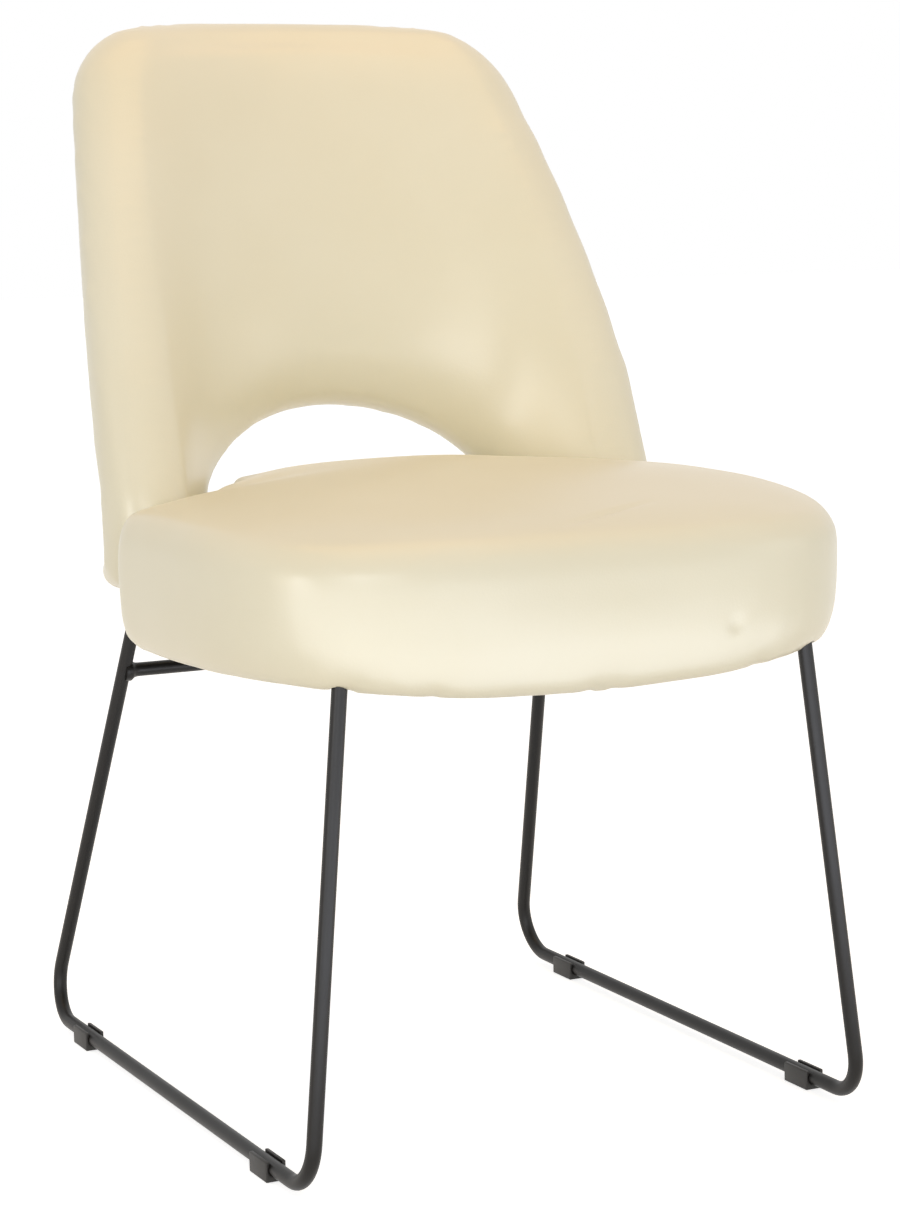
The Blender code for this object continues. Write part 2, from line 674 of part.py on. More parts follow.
def rim_drop(point, share):
    """How far the seat's lower rim hangs below the seat base: most in the middle of the front."""
    hang = ease((share - SEAT_REAR_SHARE) / (SEAT_SHOULDER_SHARE - SEAT_REAR_SHARE))
    ahead = ease((SEAT_WIDEST - point.y) / (SEAT_WIDEST - SEAT_FRONT))
    inward = 1 - (2 * point.x / SEAT_WIDTH) ** 2
    return SEAT_SIDE_DROP * hang * (1 - ahead / 2) + SEAT_FRONT_DROP * ahead * inward


def shoulder_fall(point):
    """How far the seat's top edge falls at a place of the plan: most at the shoulders ahead of the wings."""
    behind = ease((point.y - SEAT_WIDEST) / (wing_tip() - SEAT_WIDEST))
    outside = ease((abs(point.x) - SEAT_TONGUE_HALF) / (SEAT_WIDTH / 2 - SEAT_TONGUE_HALF))
    return SEAT_SHOULDER_FALL * behind * outside


def seat_cushion(vinyl, spaces):
    """The seat: drawn-in lower edge, full sides, rolled top edge and a crowned top."""
    base = COVER_UNDERSIDE
    plan = SeatPlan()
    rings = [[(p.x, p.y, base) for p in plan.shrunk(SEAT_LOW_ROLL, SEAT_LIP_SHARE)]]
    for turn in (90, 60, 30, 0):
        lean = math.radians(turn)
        low = plan.drawn_in(SEAT_LOW_ROLL * (1 - math.cos(lean)))
        up = SEAT_LOW_ROLL_DEPTH * (1 - math.sin(lean))
        hang = math.sin(lean) ** 0.5
        drops = [rim_drop(p, share) * hang for p, share in zip(low, plan.shares)]
        rings.append([(p.x, p.y, base - drop + up) for p, drop in zip(low, drops)])
    falls = [shoulder_fall(p) for p in plan.points]
    for turn in (0, 25, 50, 75):
        lean = math.radians(turn)
        high = plan.drawn_in(SEAT_TOP_ROLL * (1 - math.cos(lean)))
        height = SEAT_EDGE_HEIGHT - SEAT_TOP_ROLL_DEPTH * (1 - math.sin(lean))
        rings.append([(p.x, p.y, height - fall) for p, fall in zip(high, falls)])
    for share in (0.0, 0.2, 0.45, 0.7, 0.93):
        height = SEAT_EDGE_HEIGHT + SEAT_CROWN * (1 - (1 - share) ** 2)
        top = plan.shrunk(SEAT_TOP_ROLL, share)
        rings.append([(p.x, p.y, height - fall * (1 - share) ** 2) for p, fall in zip(top, falls)])
    cushion = make_object("seat_cushion", *stack_rings(rings), vinyl, smooth_angle=60)
    for space in spaces:
        cut(cushion, space)
    return cushion


def base_space():
    """The space under the seat cushion for the base and its tee nuts."""
    top = SEAT_BASE_TOP + TEE_NUT_FLANGE_THICKNESS + 2 * FIT_GAP
    return make_cutter("base_space", *prism(seat_base_outline(FIT_GAP), 0.0, top))


def leg_space(side):
    """Clearance for a front leg where it passes the seat's rim."""
    reach = SEAT_SIDE_DROP + SEAT_FRONT_DROP + SEAT_LOW_ROLL
    line = [leg_point(side, True, height) for height in (LEG_TOP - reach, LEG_TOP + BAR_THICKNESS)]
    return make_cutter(f"leg_space_{side}", *tube(line, [ROD_RADIUS + SOFT_GAP / 2] * 2))


def drill(name, place, diameter, low, high, parent=None):
    """A drill body along local Z."""
    hole = diameter / 2
    points, faces = turned([(0, low), (hole, low), (hole, high), (0, high)], FASTENER_SIDES)
    tool = make_cutter(name, points, faces, parent)
    tool.location = place
    return tool


def bolt(name, place, diameter, head_diameter, head_height, length, material, parent=None):
    """A button-head fastener: its head's flat face at local zero, its shank along +Z."""
    shank, head = diameter / 2, head_diameter / 2
    profile = [(0, -head_height), (head * 0.55, -head_height), (head * 0.88, -head_height * 0.6), (head, 0.0),
               (shank, 0.0), (shank, length - shank / 2), (shank * 0.6, length), (0, length)]
    made = make_object(name, *turned(profile, FASTENER_SIDES), material, parent)
    made.location = place
    return made


def tee_nut(name, place, material):
    """A flanged nut pressed into the seat base from above."""
    bore = BOLT_DIAMETER / 2 + BOLT_HOLE_PLAY / 2
    barrel = bore + TEE_NUT_WALL
    low = SEAT_BASE_HEIGHT + SEAT_BASE_THICKNESS / 3
    flange_low = SEAT_BASE_TOP + FIT_GAP
    flange_top = flange_low + TEE_NUT_FLANGE_THICKNESS
    section = [(bore, low), (barrel, low), (barrel, flange_low), (TEE_NUT_FLANGE / 2, flange_low),
               (TEE_NUT_FLANGE / 2, flange_top), (bore, flange_top)]
    made = make_object(name, *turned_ring(section, FASTENER_SIDES), material)
    made.location = (place[0], place[1], 0.0)
    return made


def tee_nut_hole():
    """Diameter of the hole in the seat base for a tee nut's barrel."""
    return BOLT_DIAMETER + BOLT_HOLE_PLAY + 2 * TEE_NUT_WALL + 2 * FIT_GAP


def bracket_frame(side):
    """An empty on the wing's padding: local X points out through the wing, local Z is up."""
    turn = plan_curve(side * BRACKET_PLACE)[2]
    place = bend(side * BRACKET_PLACE, BACK_UPRIGHT_HEIGHT, 0.0)
    frame = bpy.data.objects.new(f"bracket_frame_{side}", None)
    frame.matrix_world = (Matrix.Translation((place.x, place.y, 0.0))
                          @ Matrix.Rotation(math.pi / 2 - turn, 4, "Z"))
    bpy.context.collection.objects.link(frame)
    return frame


def bracket_section():
    """The strap's bent outline in local X and Z."""
    face = STRAP_FACE
    back = face - BRACKET_THICKNESS
    low = STEEL_TOP - BRACKET_THICKNESS
    inner_end = face - BRACKET_REACH
    top = PATTERN_FOOT_HEIGHT + BRACKET_RISE
    corners = [(inner_end, low), (face, low, BRACKET_BEND), (face, top), (back, top),
               (back, STEEL_TOP, BRACKET_BEND - BRACKET_THICKNESS), (inner_end, STEEL_TOP)]
    points = []
    for k, corner in enumerate(corners):
        here = Vector(corner[:2])
        if len(corner) == 3:
            points += round_corner(Vector(corners[k - 1][:2]), here, Vector(corners[k + 1][:2]), corner[2], 4)
        else:
            points.append(here)
    return [tuple(p) for p in points]


def strap(name, coat, frame):
    """A bent strap from under the seat base up into the wing."""
    half = BRACKET_WIDTH / 2
    rings = [[(x, y, z) for x, z in bracket_section()] for y in (-half, half)]
    return make_object(name, *stack_rings(rings), coat, frame)


def strap_space(name, frame):
    """The pocket in the back pad for a strap's upright and its screw heads, open to the core."""
    inner = STRAP_FACE - BRACKET_THICKNESS - SCREW_HEAD_HEIGHT - 4 * FIT_GAP
    half = BRACKET_WIDTH / 2 + 2 * FIT_GAP
    outline = [(inner, -half), (CORE_OFFSET, -half), (CORE_OFFSET, half), (inner, half)]
    return make_cutter(name, *prism(outline, 0.0, PATTERN_FOOT_HEIGHT + BRACKET_RISE + 2 * FIT_GAP), frame)


def build():
    """Makes every piece of the chair."""
    clear_scene()
    coat = finish("black_powder_coat", "#2a2724", 0.42)
    plastic = finish("black_plastic", "#262523", 0.5)
    vinyl = finish("cream_vinyl", "#ebe0c4", 0.45)
    plywood = finish("plywood", "#b98d5c", 0.7)
    cloth = finish("black_dust_cloth", "#1e1d1c", 0.95)
    zinc = finish("zinc_plate", "#b9bbbd", 0.35, 1.0)

    for side, hand in ((-1, "left"), (1, "right")):
        sled_rod(f"{hand}_sled_rod", side, coat)
        glide(f"front_{hand}_glide", side, -SLED_LENGTH / 2 + FRONT_GLIDE_SETBACK, plastic)
        glide(f"rear_{hand}_glide", side, SLED_LENGTH / 2 - REAR_GLIDE_SETBACK, plastic)
    rear_cross_bar(coat)

    nut_holes = []
    cover_holes = []
    clear_hole = BOLT_DIAMETER + BOLT_HOLE_PLAY
    bolt_length = SEAT_BASE_TOP - BAR_UNDERSIDE
    for front, end in ((True, "front"), (False, "rear")):
        bar_holes = []
        for side, hand in ((-1, "left"), (1, "right")):
            place = (side * SEAT_BOLT_SPACING / 2, bar_line(front))
            name = f"{end}_{hand}_seat"
            bar_holes.append(drill(f"{name}_bar_hole", (*place, 0), clear_hole, 0.0, SEAT_BASE_HEIGHT))
            cover_holes.append(bar_holes[-1])
            nut_holes.append(drill(f"{name}_nut_hole", (*place, 0), tee_nut_hole(), 0.0, SEAT_EDGE_HEIGHT))
            bolt(f"{name}_bolt", (*place, BAR_UNDERSIDE - FIT_GAP), BOLT_DIAMETER, BOLT_HEAD_DIAMETER,
                 BOLT_HEAD_HEIGHT, bolt_length, zinc)
            tee_nut(f"{name}_tee_nut", place, zinc)
        mounting_bar(f"{end}_mounting_bar", front, coat, bar_holes)

    pattern = Pattern()
    pad = back_pad(pattern, vinyl)
    core = back_layer("back_core", pattern, CORE_INNER, CORE_OUTER, 0.0, plywood)
    back_layer("back_outer_panel", pattern, CORE_OUTER + FIT_GAP, HALF_PADDING - PANEL_RECESS,
               PANEL_CROWN, vinyl)

    strap_low = STEEL_TOP - BRACKET_THICKNESS
    inner_face = STRAP_FACE - BRACKET_THICKNESS - FIT_GAP
    screw_length = CORE_OUTER - SCREW_POINT_MARGIN - inner_face
    for side, hand in ((-1, "left"), (1, "right")):
        frame = bracket_frame(side)
        bracket = strap(f"{hand}_back_bracket", coat, frame)
        cut(pad, strap_space(f"{hand}_strap_space", frame))
        for k in range(2):
            along = STRAP_FACE - BRACKET_REACH + BRACKET_BOLT_MARGIN + k * BRACKET_BOLT_PITCH
            place = frame.matrix_world @ Vector((along, 0.0, 0.0))
            name = f"{hand}_bracket_{('inner', 'outer')[k]}"
            strap_hole = drill(f"{name}_strap_hole", place, clear_hole, 0.0, SEAT_BASE_HEIGHT)
            cut(bracket, strap_hole)
            cover_holes.append(strap_hole)
            nut_holes.append(drill(f"{name}_nut_hole", place, tee_nut_hole(), 0.0, SEAT_EDGE_HEIGHT))
            bolt(f"{name}_bolt", (place.x, place.y, strap_low - FIT_GAP), BOLT_DIAMETER, BOLT_HEAD_DIAMETER,
                 BOLT_HEAD_HEIGHT, SEAT_BASE_TOP - strap_low, zinc)
            tee_nut(f"{name}_tee_nut", (place.x, place.y), zinc)
        for k in range(2):
            height = PATTERN_FOOT_HEIGHT + BRACKET_RISE - BRACKET_BOLT_MARGIN - k * BRACKET_SCREW_PITCH
            name = f"{hand}_{('upper', 'lower')[k]}_bracket_screw"
            screw = bolt(name, (inner_face, 0.0, height), SCREW_DIAMETER, SCREW_HEAD_DIAMETER,
                         SCREW_HEAD_HEIGHT, screw_length, zinc, frame)
            hole = drill(f"{name}_hole", (inner_face, 0.0, height), SCREW_DIAMETER + BOLT_HOLE_PLAY,
                         0.0, screw_length + SCREW_POINT_MARGIN / 2, frame)
            for turned_piece in (screw, hole):
                turned_piece.rotation_euler = (0.0, math.pi / 2, 0.0)
            cut(bracket, hole)
            cut(core, hole)

    base = make_object("seat_base", *prism(seat_base_outline(0.0), SEAT_BASE_HEIGHT, SEAT_BASE_TOP), plywood)
    cover = make_object("dust_cover", *prism(seat_base_outline(0.0), COVER_UNDERSIDE,
                                             SEAT_BASE_HEIGHT - FIT_GAP), cloth)
    for hole in nut_holes:
        cut(base, hole)
    for hole in cover_holes:
        cut(cover, hole)
    seat_cushion(vinyl, [base_space(), leg_space(-1), leg_space(1)])


build()
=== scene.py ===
# %% [markdown]
# # A padded dining chair on a bent rod sled
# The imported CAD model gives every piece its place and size. This lesson dresses it: the rods,
# glides and bolts are modelled again with round, smooth forms, and the seat and back get soft
# covers of cream vinyl. The plan is to load the frame first and to keep its box for later.

# %% Load the frame
import math

import bpy
import numpy as np
from mathutils import Matrix, Vector
from mathutils.bvhtree import BVHTree


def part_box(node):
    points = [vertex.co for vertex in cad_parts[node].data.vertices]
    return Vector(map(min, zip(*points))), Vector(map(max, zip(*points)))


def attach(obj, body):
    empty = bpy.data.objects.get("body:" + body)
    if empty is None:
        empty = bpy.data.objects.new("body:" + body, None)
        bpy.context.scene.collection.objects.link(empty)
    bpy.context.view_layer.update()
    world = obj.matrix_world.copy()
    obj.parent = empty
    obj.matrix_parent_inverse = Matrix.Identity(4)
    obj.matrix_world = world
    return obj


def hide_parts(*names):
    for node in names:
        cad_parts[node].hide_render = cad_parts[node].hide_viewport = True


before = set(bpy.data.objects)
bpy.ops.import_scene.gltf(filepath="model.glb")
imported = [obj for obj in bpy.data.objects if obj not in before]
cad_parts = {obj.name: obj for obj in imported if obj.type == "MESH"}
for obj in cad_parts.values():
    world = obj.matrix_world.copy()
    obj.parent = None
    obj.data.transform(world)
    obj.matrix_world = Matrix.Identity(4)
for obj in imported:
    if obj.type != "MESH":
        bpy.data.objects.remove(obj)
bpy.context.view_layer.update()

# %% [markdown]
# ## Working with one piece at a time
# Operators act on all that is selected, so each step starts by selecting a single piece. A
# finished piece keeps its object at the origin, with its place in its mesh, as the CAD nodes do.

# %% Helpers for selecting
def only(piece):
    """Selects one object alone and makes it active."""
    bpy.ops.object.select_all(action="DESELECT")
    piece.select_set(True)
    bpy.context.view_layer.objects.active = piece


def edit(piece):
    """Opens a piece in edit mode with everything in it selected."""
    only(piece)
    bpy.ops.object.mode_set(mode="EDIT")
    bpy.ops.mesh.select_all(action="SELECT")


def leave_edit():
    """Goes back to object mode."""
    bpy.ops.object.mode_set(mode="OBJECT")


# %% Helpers for shaping and finishing
BODY = "root"


def bevel_edges(piece, chosen, offset, segments):
    """Rounds the edges whose two ends pass a test."""
    only(piece)
    bpy.ops.object.mode_set(mode="EDIT")
    bpy.ops.mesh.select_mode(type="EDGE")
    bpy.ops.mesh.select_all(action="DESELECT")
    leave_edit()
    for edge in piece.data.edges:
        a, b = (piece.data.vertices[v].co for v in edge.vertices)
        edge.select = chosen(a, b)
    bpy.ops.object.mode_set(mode="EDIT")
    bpy.ops.mesh.bevel(offset=offset, segments=segments, affect="EDGES")
    bpy.ops.mesh.select_mode(type="VERT")
    leave_edit()


def settle(piece, smooth_angle=40):
    """Moves a piece's place into its mesh, merges doubles, faces it outwards and shades it."""
    only(piece)
    bpy.ops.object.transform_apply(location=True, rotation=True, scale=True)
    edit(piece)
    bpy.ops.mesh.remove_doubles(threshold=1e-6)
    bpy.ops.mesh.normals_make_consistent(inside=False)
    leave_edit()
    bpy.ops.object.shade_smooth_by_angle(angle=math.radians(smooth_angle))


def apply_modifiers(piece):
    """Applies every modifier of a piece in order."""
    only(piece)
    for step in list(piece.modifiers):
        bpy.ops.object.modifier_apply(modifier=step.name)


def combine(piece, tool, operation, keep_tool=False):
    """Joins, cuts or crosses a piece with a tool body."""
    step = piece.modifiers.new("combine", "BOOLEAN")
    step.operation = operation
    step.solver = "EXACT"
    step.object = tool
    apply_modifiers(piece)
    if not keep_tool:
        bpy.data.objects.remove(tool, do_unlink=True)


def dress(piece, slot, finish, *nodes):
    """Gives a finished piece its material and its body, and hides the nodes it stands for; its slot is
    not used.
    """
    piece.data.materials.clear()
    piece.data.materials.append(finish)
    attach(piece, BODY)
    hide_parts(*nodes)
    print(piece.name, len(piece.data.polygons), "faces")


# %% [markdown]
# ## Materials from nodes
# Each finish is a Principled shader with patterns in Object coordinates, so that a pattern has a
# real size in metres. One function turns a hex colour into linear light, and one adds a node with
# its settings and links. Image textures would need files and UV maps, so patterns are built here.

# %% Helpers for materials
def linear(hex_colour):
    """Linear colour from an sRGB hex value."""
    srgb = [int(hex_colour[i:i + 2], 16) / 255 for i in (1, 3, 5)]
    return (*(c / 12.92 if c <= 0.04045 else ((c + 0.055) / 1.055) ** 2.4 for c in srgb), 1.0)


def add_node(finish, kind, settings, inputs, output=None, into=None):
    """Adds one node; an input is a value or a socket, and an output may go into another socket."""
    node = finish.node_tree.nodes.new(kind)
    for name, value in settings.items():
        setattr(node, name, value)
    for name, value in inputs.items():
        if isinstance(value, bpy.types.NodeSocket):
            finish.node_tree.links.new(value, node.inputs[name])
        else:
            node.inputs[name].default_value = value
    if into is not None:
        finish.node_tree.links.new(node.outputs[output], into)
    return node


def start_finish(name, roughness, metallic=0.0):
    """A new material, its shader and its Object coordinates."""
    finish = bpy.data.materials.new(name)
    finish.use_nodes = True
    shader = finish.node_tree.nodes["Principled BSDF"]
    shader.inputs["Roughness"].default_value = roughness
    shader.inputs["Metallic"].default_value = metallic
    place = add_node(finish, "ShaderNodeTexCoord", {}, {}).outputs["Object"]
    return finish, shader, place


# %% [markdown]
# ## Cream vinyl
# The cover is a PVC upholstery vinyl, embossed with a fine leather grain and finished half matt.
# It gives the eye a warm cream that turns slightly yellower in patches, and a soft wide gloss.
# The real grain cells are under a millimetre; they are drawn at 1.8 mm so that they show at all.

# %% Cream vinyl
GRAIN = 0.0018
PATCH = 0.14


def cream_vinyl():
    """Embossed upholstery vinyl."""
    finish, shader, place = start_finish("cream_vinyl", 0.3)
    shader.inputs["IOR"].default_value = 1.5
    patches = add_node(finish, "ShaderNodeTexNoise", {},
                       {"Vector": place, "Scale": 1 / PATCH, "Detail": 2.0})
    add_node(finish, "ShaderNodeMix", {"data_type": "RGBA"},
             {"Factor": patches.outputs["Fac"], "A": linear("#efebd5"), "B": linear("#e9e3c8")},
             "Result", shader.inputs["Base Color"])
    cells = add_node(finish, "ShaderNodeTexVoronoi", {"feature": "SMOOTH_F1"},
                     {"Vector": place, "Scale": 1 / GRAIN, "Smoothness": 0.6})
    pores = add_node(finish, "ShaderNodeTexNoise", {},
                     {"Vector": place, "Scale": 2.5 / GRAIN, "Detail": 1.0})
    add_node(finish, "ShaderNodeMapRange", {},
             {"Value": pores.outputs["Fac"], "To Min": 0.26, "To Max": 0.36},
             "Result", shader.inputs["Roughness"])
    add_node(finish, "ShaderNodeBump", {},
             {"Height": cells.outputs["Distance"], "Strength": 0.09, "Distance": 0.0004},
             "Normal", shader.inputs["Normal"])
    return finish


vinyl = cream_vinyl()
print("made", vinyl.name)

# %% [markdown]
# ## Black powder coat
# The steel is sprayed with polyester powder and baked, which leaves a satin black skin with a
# faint orange peel. The peel's waves are about 1.5 mm apart, and dust dulls it in places.

# %% Black powder coat
PEEL = 0.0015
DUST = 0.05


def powder_coat():
    """Satin black powder coat over steel."""
    finish, shader, place = start_finish("black_powder_coat", 0.4)
    shader.inputs["Specular IOR Level"].default_value = 0.3
    dust = add_node(finish, "ShaderNodeTexNoise", {},
                    {"Vector": place, "Scale": 1 / DUST, "Detail": 3.0})
    add_node(finish, "ShaderNodeMix", {"data_type": "RGBA"},
             {"Factor": dust.outputs["Fac"], "A": linear("#141312"), "B": linear("#1c1a18")},
             "Result", shader.inputs["Base Color"])
    add_node(finish, "ShaderNodeMapRange", {},
             {"Value": dust.outputs["Fac"], "To Min": 0.34, "To Max": 0.48},
             "Result", shader.inputs["Roughness"])
    peel = add_node(finish, "ShaderNodeTexNoise", {},
                    {"Vector": place, "Scale": 1 / PEEL, "Detail": 1.0})
    add_node(finish, "ShaderNodeBump", {},
             {"Height": peel.outputs["Fac"], "Strength": 0.25, "Distance": 0.0001},
             "Normal", shader.inputs["Normal"])
    return finish


coat = powder_coat()
print("made", coat.name)

# %% [markdown]
# ## Nylon, zinc, plywood and dust cloth
# The glides are moulded nylon with a spark-eroded matt skin. Bolts and staples are zinc plated
# steel, bright but cloudy. The base and core are birch plywood, and the cloth under the seat is a
# spun-bonded fleece with a pressed diamond pattern about 2.5 mm wide.

# %% Nylon and zinc
SCUFF, EROSION = 0.006, 0.0008
CLOUD = 0.004


def moulded_nylon():
    """Matt black moulded nylon."""
    finish, shader, place = start_finish("black_plastic", 0.52)
    scuffs = add_node(finish, "ShaderNodeTexNoise", {},
                      {"Vector": place, "Scale": 1 / SCUFF, "Detail": 4.0})
    add_node(finish, "ShaderNodeMix", {"data_type": "RGBA"},
             {"Factor": scuffs.outputs["Fac"], "A": linear("#1f1e1d"), "B": linear("#34322f")},
             "Result", shader.inputs["Base Color"])
    add_node(finish, "ShaderNodeMapRange", {},
             {"Value": scuffs.outputs["Fac"], "To Min": 0.44, "To Max": 0.6},
             "Result", shader.inputs["Roughness"])
    erosion = add_node(finish, "ShaderNodeTexNoise", {},
                       {"Vector": place, "Scale": 1 / EROSION, "Detail": 2.0})
    add_node(finish, "ShaderNodeBump", {},
             {"Height": erosion.outputs["Fac"], "Strength": 0.3, "Distance": 0.00012},
             "Normal", shader.inputs["Normal"])
    return finish


def zinc_plate():
    """Bright zinc plated steel."""
    finish, shader, place = start_finish("zinc_plate", 0.32, 1.0)
    cloud = add_node(finish, "ShaderNodeTexNoise", {},
                     {"Vector": place, "Scale": 1 / CLOUD, "Detail": 3.0})
    add_node(finish, "ShaderNodeMix", {"data_type": "RGBA"},
             {"Factor": cloud.outputs["Fac"], "A": linear("#a9adb1"), "B": linear("#c9cbc9")},
             "Result", shader.inputs["Base Color"])
    add_node(finish, "ShaderNodeMapRange", {},
             {"Value": cloud.outputs["Fac"], "To Min": 0.24, "To Max": 0.42},
             "Result", shader.inputs["Roughness"])
    return finish


nylon, zinc = moulded_nylon(), zinc_plate()
print("made", nylon.name, zinc.name)

# %% Plywood and dust cloth
WOOD_GRAIN, GRAIN_STRETCH = 0.003, 0.08
DIAMOND = 0.0025


def birch_plywood():
    """Unfinished birch plywood with long grain."""
    finish, shader, place = start_finish("plywood", 0.7)
    along = add_node(finish, "ShaderNodeMapping", {},
                     {"Vector": place, "Scale": (1.0, GRAIN_STRETCH, 1.0)})
    grain = add_node(finish, "ShaderNodeTexNoise", {},
                     {"Vector": along.outputs["Vector"], "Scale": 1 / WOOD_GRAIN, "Detail": 4.0})
    add_node(finish, "ShaderNodeMix", {"data_type": "RGBA"},
             {"Factor": grain.outputs["Fac"], "A": linear("#a97f50"), "B": linear("#cda676")},
             "Result", shader.inputs["Base Color"])
    add_node(finish, "ShaderNodeBump", {},
             {"Height": grain.outputs["Fac"], "Strength": 0.2, "Distance": 0.0003},
             "Normal", shader.inputs["Normal"])
    return finish


def dust_fleece():
    """Black spun-bonded fleece."""
    finish, shader, place = start_finish("black_dust_cloth", 0.95)
    turned = add_node(finish, "ShaderNodeMapping", {},
                      {"Vector": place, "Rotation": (0.0, 0.0, math.radians(45))})
    marks = add_node(finish, "ShaderNodeTexChecker", {},
                     {"Vector": turned.outputs["Vector"], "Scale": 1 / DIAMOND})
    add_node(finish, "ShaderNodeMix", {"data_type": "RGBA"},
             {"Factor": marks.outputs["Fac"], "A": linear("#1b1a19"), "B": linear("#262422")},
             "Result", shader.inputs["Base Color"])
    add_node(finish, "ShaderNodeBump", {},
             {"Height": marks.outputs["Fac"], "Strength": 0.3, "Distance": 0.0003},
             "Normal", shader.inputs["Normal"])
    return finish


plywood, fleece = birch_plywood(), dust_fleece()
print("made", plywood.name, fleece.name)

# %% [markdown]
# ## The camera
# The camera stands where the photograph was taken. Its place was found from the frame's straight
# rods, so it is set by a matrix of its three directions; turning it by hand would only come near.

# %% Camera
IMAGE_WIDE, IMAGE_TALL = 900, 1221
FOCAL_PIXELS = 3010.16
SENSOR = 36.0
CAMERA_PLACE = (-0.9733, -2.0635, 0.6642)
camera_data = bpy.data.cameras.new("camera")
camera_data.sensor_fit = "AUTO"
camera_data.sensor_width = SENSOR
camera_data.lens = FOCAL_PIXELS / IMAGE_TALL * SENSOR
camera = bpy.data.objects.new("camera", camera_data)
bpy.context.scene.collection.objects.link(camera)
right = Vector((0.89887, -0.43772, -0.02075))
up = Vector((0.07725, 0.11168, 0.99074))
ahead = Vector((0.43135, 0.89215, -0.13420))
turned = Matrix((right, up, -ahead)).transposed().to_4x4()
camera.matrix_world = Matrix.Translation(CAMERA_PLACE) @ turned
bpy.context.scene.camera = camera
print("lens", round(camera_data.lens, 2), "mm")

# %% [markdown]
# ## Floor and surround
# The studio has a wide white floor that runs into a white wall. Both look white to the camera and
# in reflections, but give the chair only part of their light. Stronger lamps would whiten them
# too, and bleach the chair; asking what kind of ray sees them keeps the two apart.

# %% Floor and world
FLOOR_SIZE, FLOOR_DROP = 40.0, 0.0004
FLOOR_GLOW = 0.70
WORLD_FILL = 0.52
WHITE = (1.0, 1.0, 1.0, 1.0)


def shown_ray(finish):
    """A socket that is 1 for rays of the camera, reflections and glass, and 0 for the rest."""
    rays = add_node(finish, "ShaderNodeLightPath", {}, {})
    shown = rays.outputs["Is Camera Ray"]
    for name in ("Is Glossy Ray", "Is Transmission Ray"):
        either = add_node(finish, "ShaderNodeMath", {"operation": "MAXIMUM"},
                          {0: shown, 1: rays.outputs[name]})
        shown = either.outputs[0]
    return shown


def studio_floor():
    """A wide pale floor that looks white and keeps the chair's shadow."""
    bpy.ops.object.select_all(action="DESELECT")
    bpy.ops.mesh.primitive_plane_add(size=FLOOR_SIZE, location=(0.0, 0.0, -FLOOR_DROP))
    floor = bpy.context.object
    floor.name = "floor"
    finish, shader, _ = start_finish("pale_floor", 0.9)
    shader.inputs["Base Color"].default_value = linear("#f2f1ef")
    shader.inputs["Specular IOR Level"].default_value = 0.0
    shader.inputs["Emission Color"].default_value = WHITE
    add_node(finish, "ShaderNodeMath", {"operation": "MULTIPLY"}, {0: shown_ray(finish), 1: FLOOR_GLOW},
             0, shader.inputs["Emission Strength"])
    floor.data.materials.append(finish)


def studio_world():
    """A white surround that gives the chair only a part of its light."""
    world = bpy.data.worlds.new("studio")
    bpy.context.scene.world = world
    world.use_nodes = True
    back = world.node_tree.nodes["Background"]
    back.inputs["Color"].default_value = WHITE
    add_node(world, "ShaderNodeMapRange", {}, {"Value": shown_ray(world), "To Min": WORLD_FILL},
             "Result", back.inputs["Strength"])


studio_floor()
studio_world()
print("floor and world ready")

# %% [markdown]
# ## Lamps
# Large softboxes light the chair mostly from the front, low and from the left, so the front of
# the seat is brighter than its top, and a warm one hangs above. Two more are seen by reflections
# alone: they give the vinyl the white shine that a bright floor and wall leave on it.

# %% Lamps
def softbox(name, place, target, wide, tall, power, colour="#ffffff"):
    """A softbox that faces a point and that the camera doesn't see."""
    lamp_data = bpy.data.lights.new(name, "AREA")
    lamp_data.shape = "RECTANGLE"
    lamp_data.size, lamp_data.size_y = wide, tall
    lamp_data.energy = power
    lamp_data.color = linear(colour)[:3]
    lamp = bpy.data.objects.new(name, lamp_data)
    bpy.context.scene.collection.objects.link(lamp)
    lamp.location = place
    lamp.rotation_euler = (Vector(target) - Vector(place)).to_track_quat("-Z", "Y").to_euler()
    lamp.visible_camera = False
    return lamp


softbox("front", (-2.4, -4.8, 1.5), (0.0, 0.0, 0.55), 3.0, 1.6, 70.0, "#f8faff")
softbox("left_front", (-3.2, -0.9, 0.8), (0.0, 0.0, 0.55), 1.2, 1.2, 8.0, "#ffeccb")
softbox("right_side", (2.6, -1.8, 0.9), (0.0, 0.0, 0.5), 1.2, 1.2, 6.0)
softbox("floor_bounce", (-0.30, -1.35, 0.03), (0.0, -0.3, 0.40), 1.4, 0.30, 0.8)
softbox("warm_above", (0.1, -0.1, 2.6), (0.0, -0.1, 0.4), 2.0, 2.0, 14.0, "#ffc050")
floor_shine = softbox("floor_shine", (-1.8, -1.55, 0.004), (-1.8, -1.55, 1.0), 6.0, 1.9, 150.0,
                      "#e9f0ff")
left_card = softbox("left_card", (-3.4, -1.3, 0.70), (0.2, 0.0, 0.55), 0.8, 1.1, 16.0, "#eef3ff")
floor_shine.visible_diffuse = left_card.visible_diffuse = False
bpy.context.scene.view_settings.view_transform = "Standard"
print("lamps ready")

# %% [markdown]
# ## The sled rods
# Each side of the sled is one steel rod, bent cold round a former at two corners. A curve with a
# round bevel would be quick; extruding a ring of edges and spinning it round each bend follows
# how the real rod is made, and keeps the straight lengths straight.

# %% Where the legs run
RUNNER_HALF_SPACING = 0.2185
SLED_HALF_LENGTH = 0.271
RUNNER_HEIGHT = 0.009
LEG_TOP = 0.3533
LOOP_LEAN = math.tan(math.radians(6.2))
FRONT_RAKE = math.tan(math.radians(2.6))
REAR_RAKE = -math.tan(math.radians(21.3))


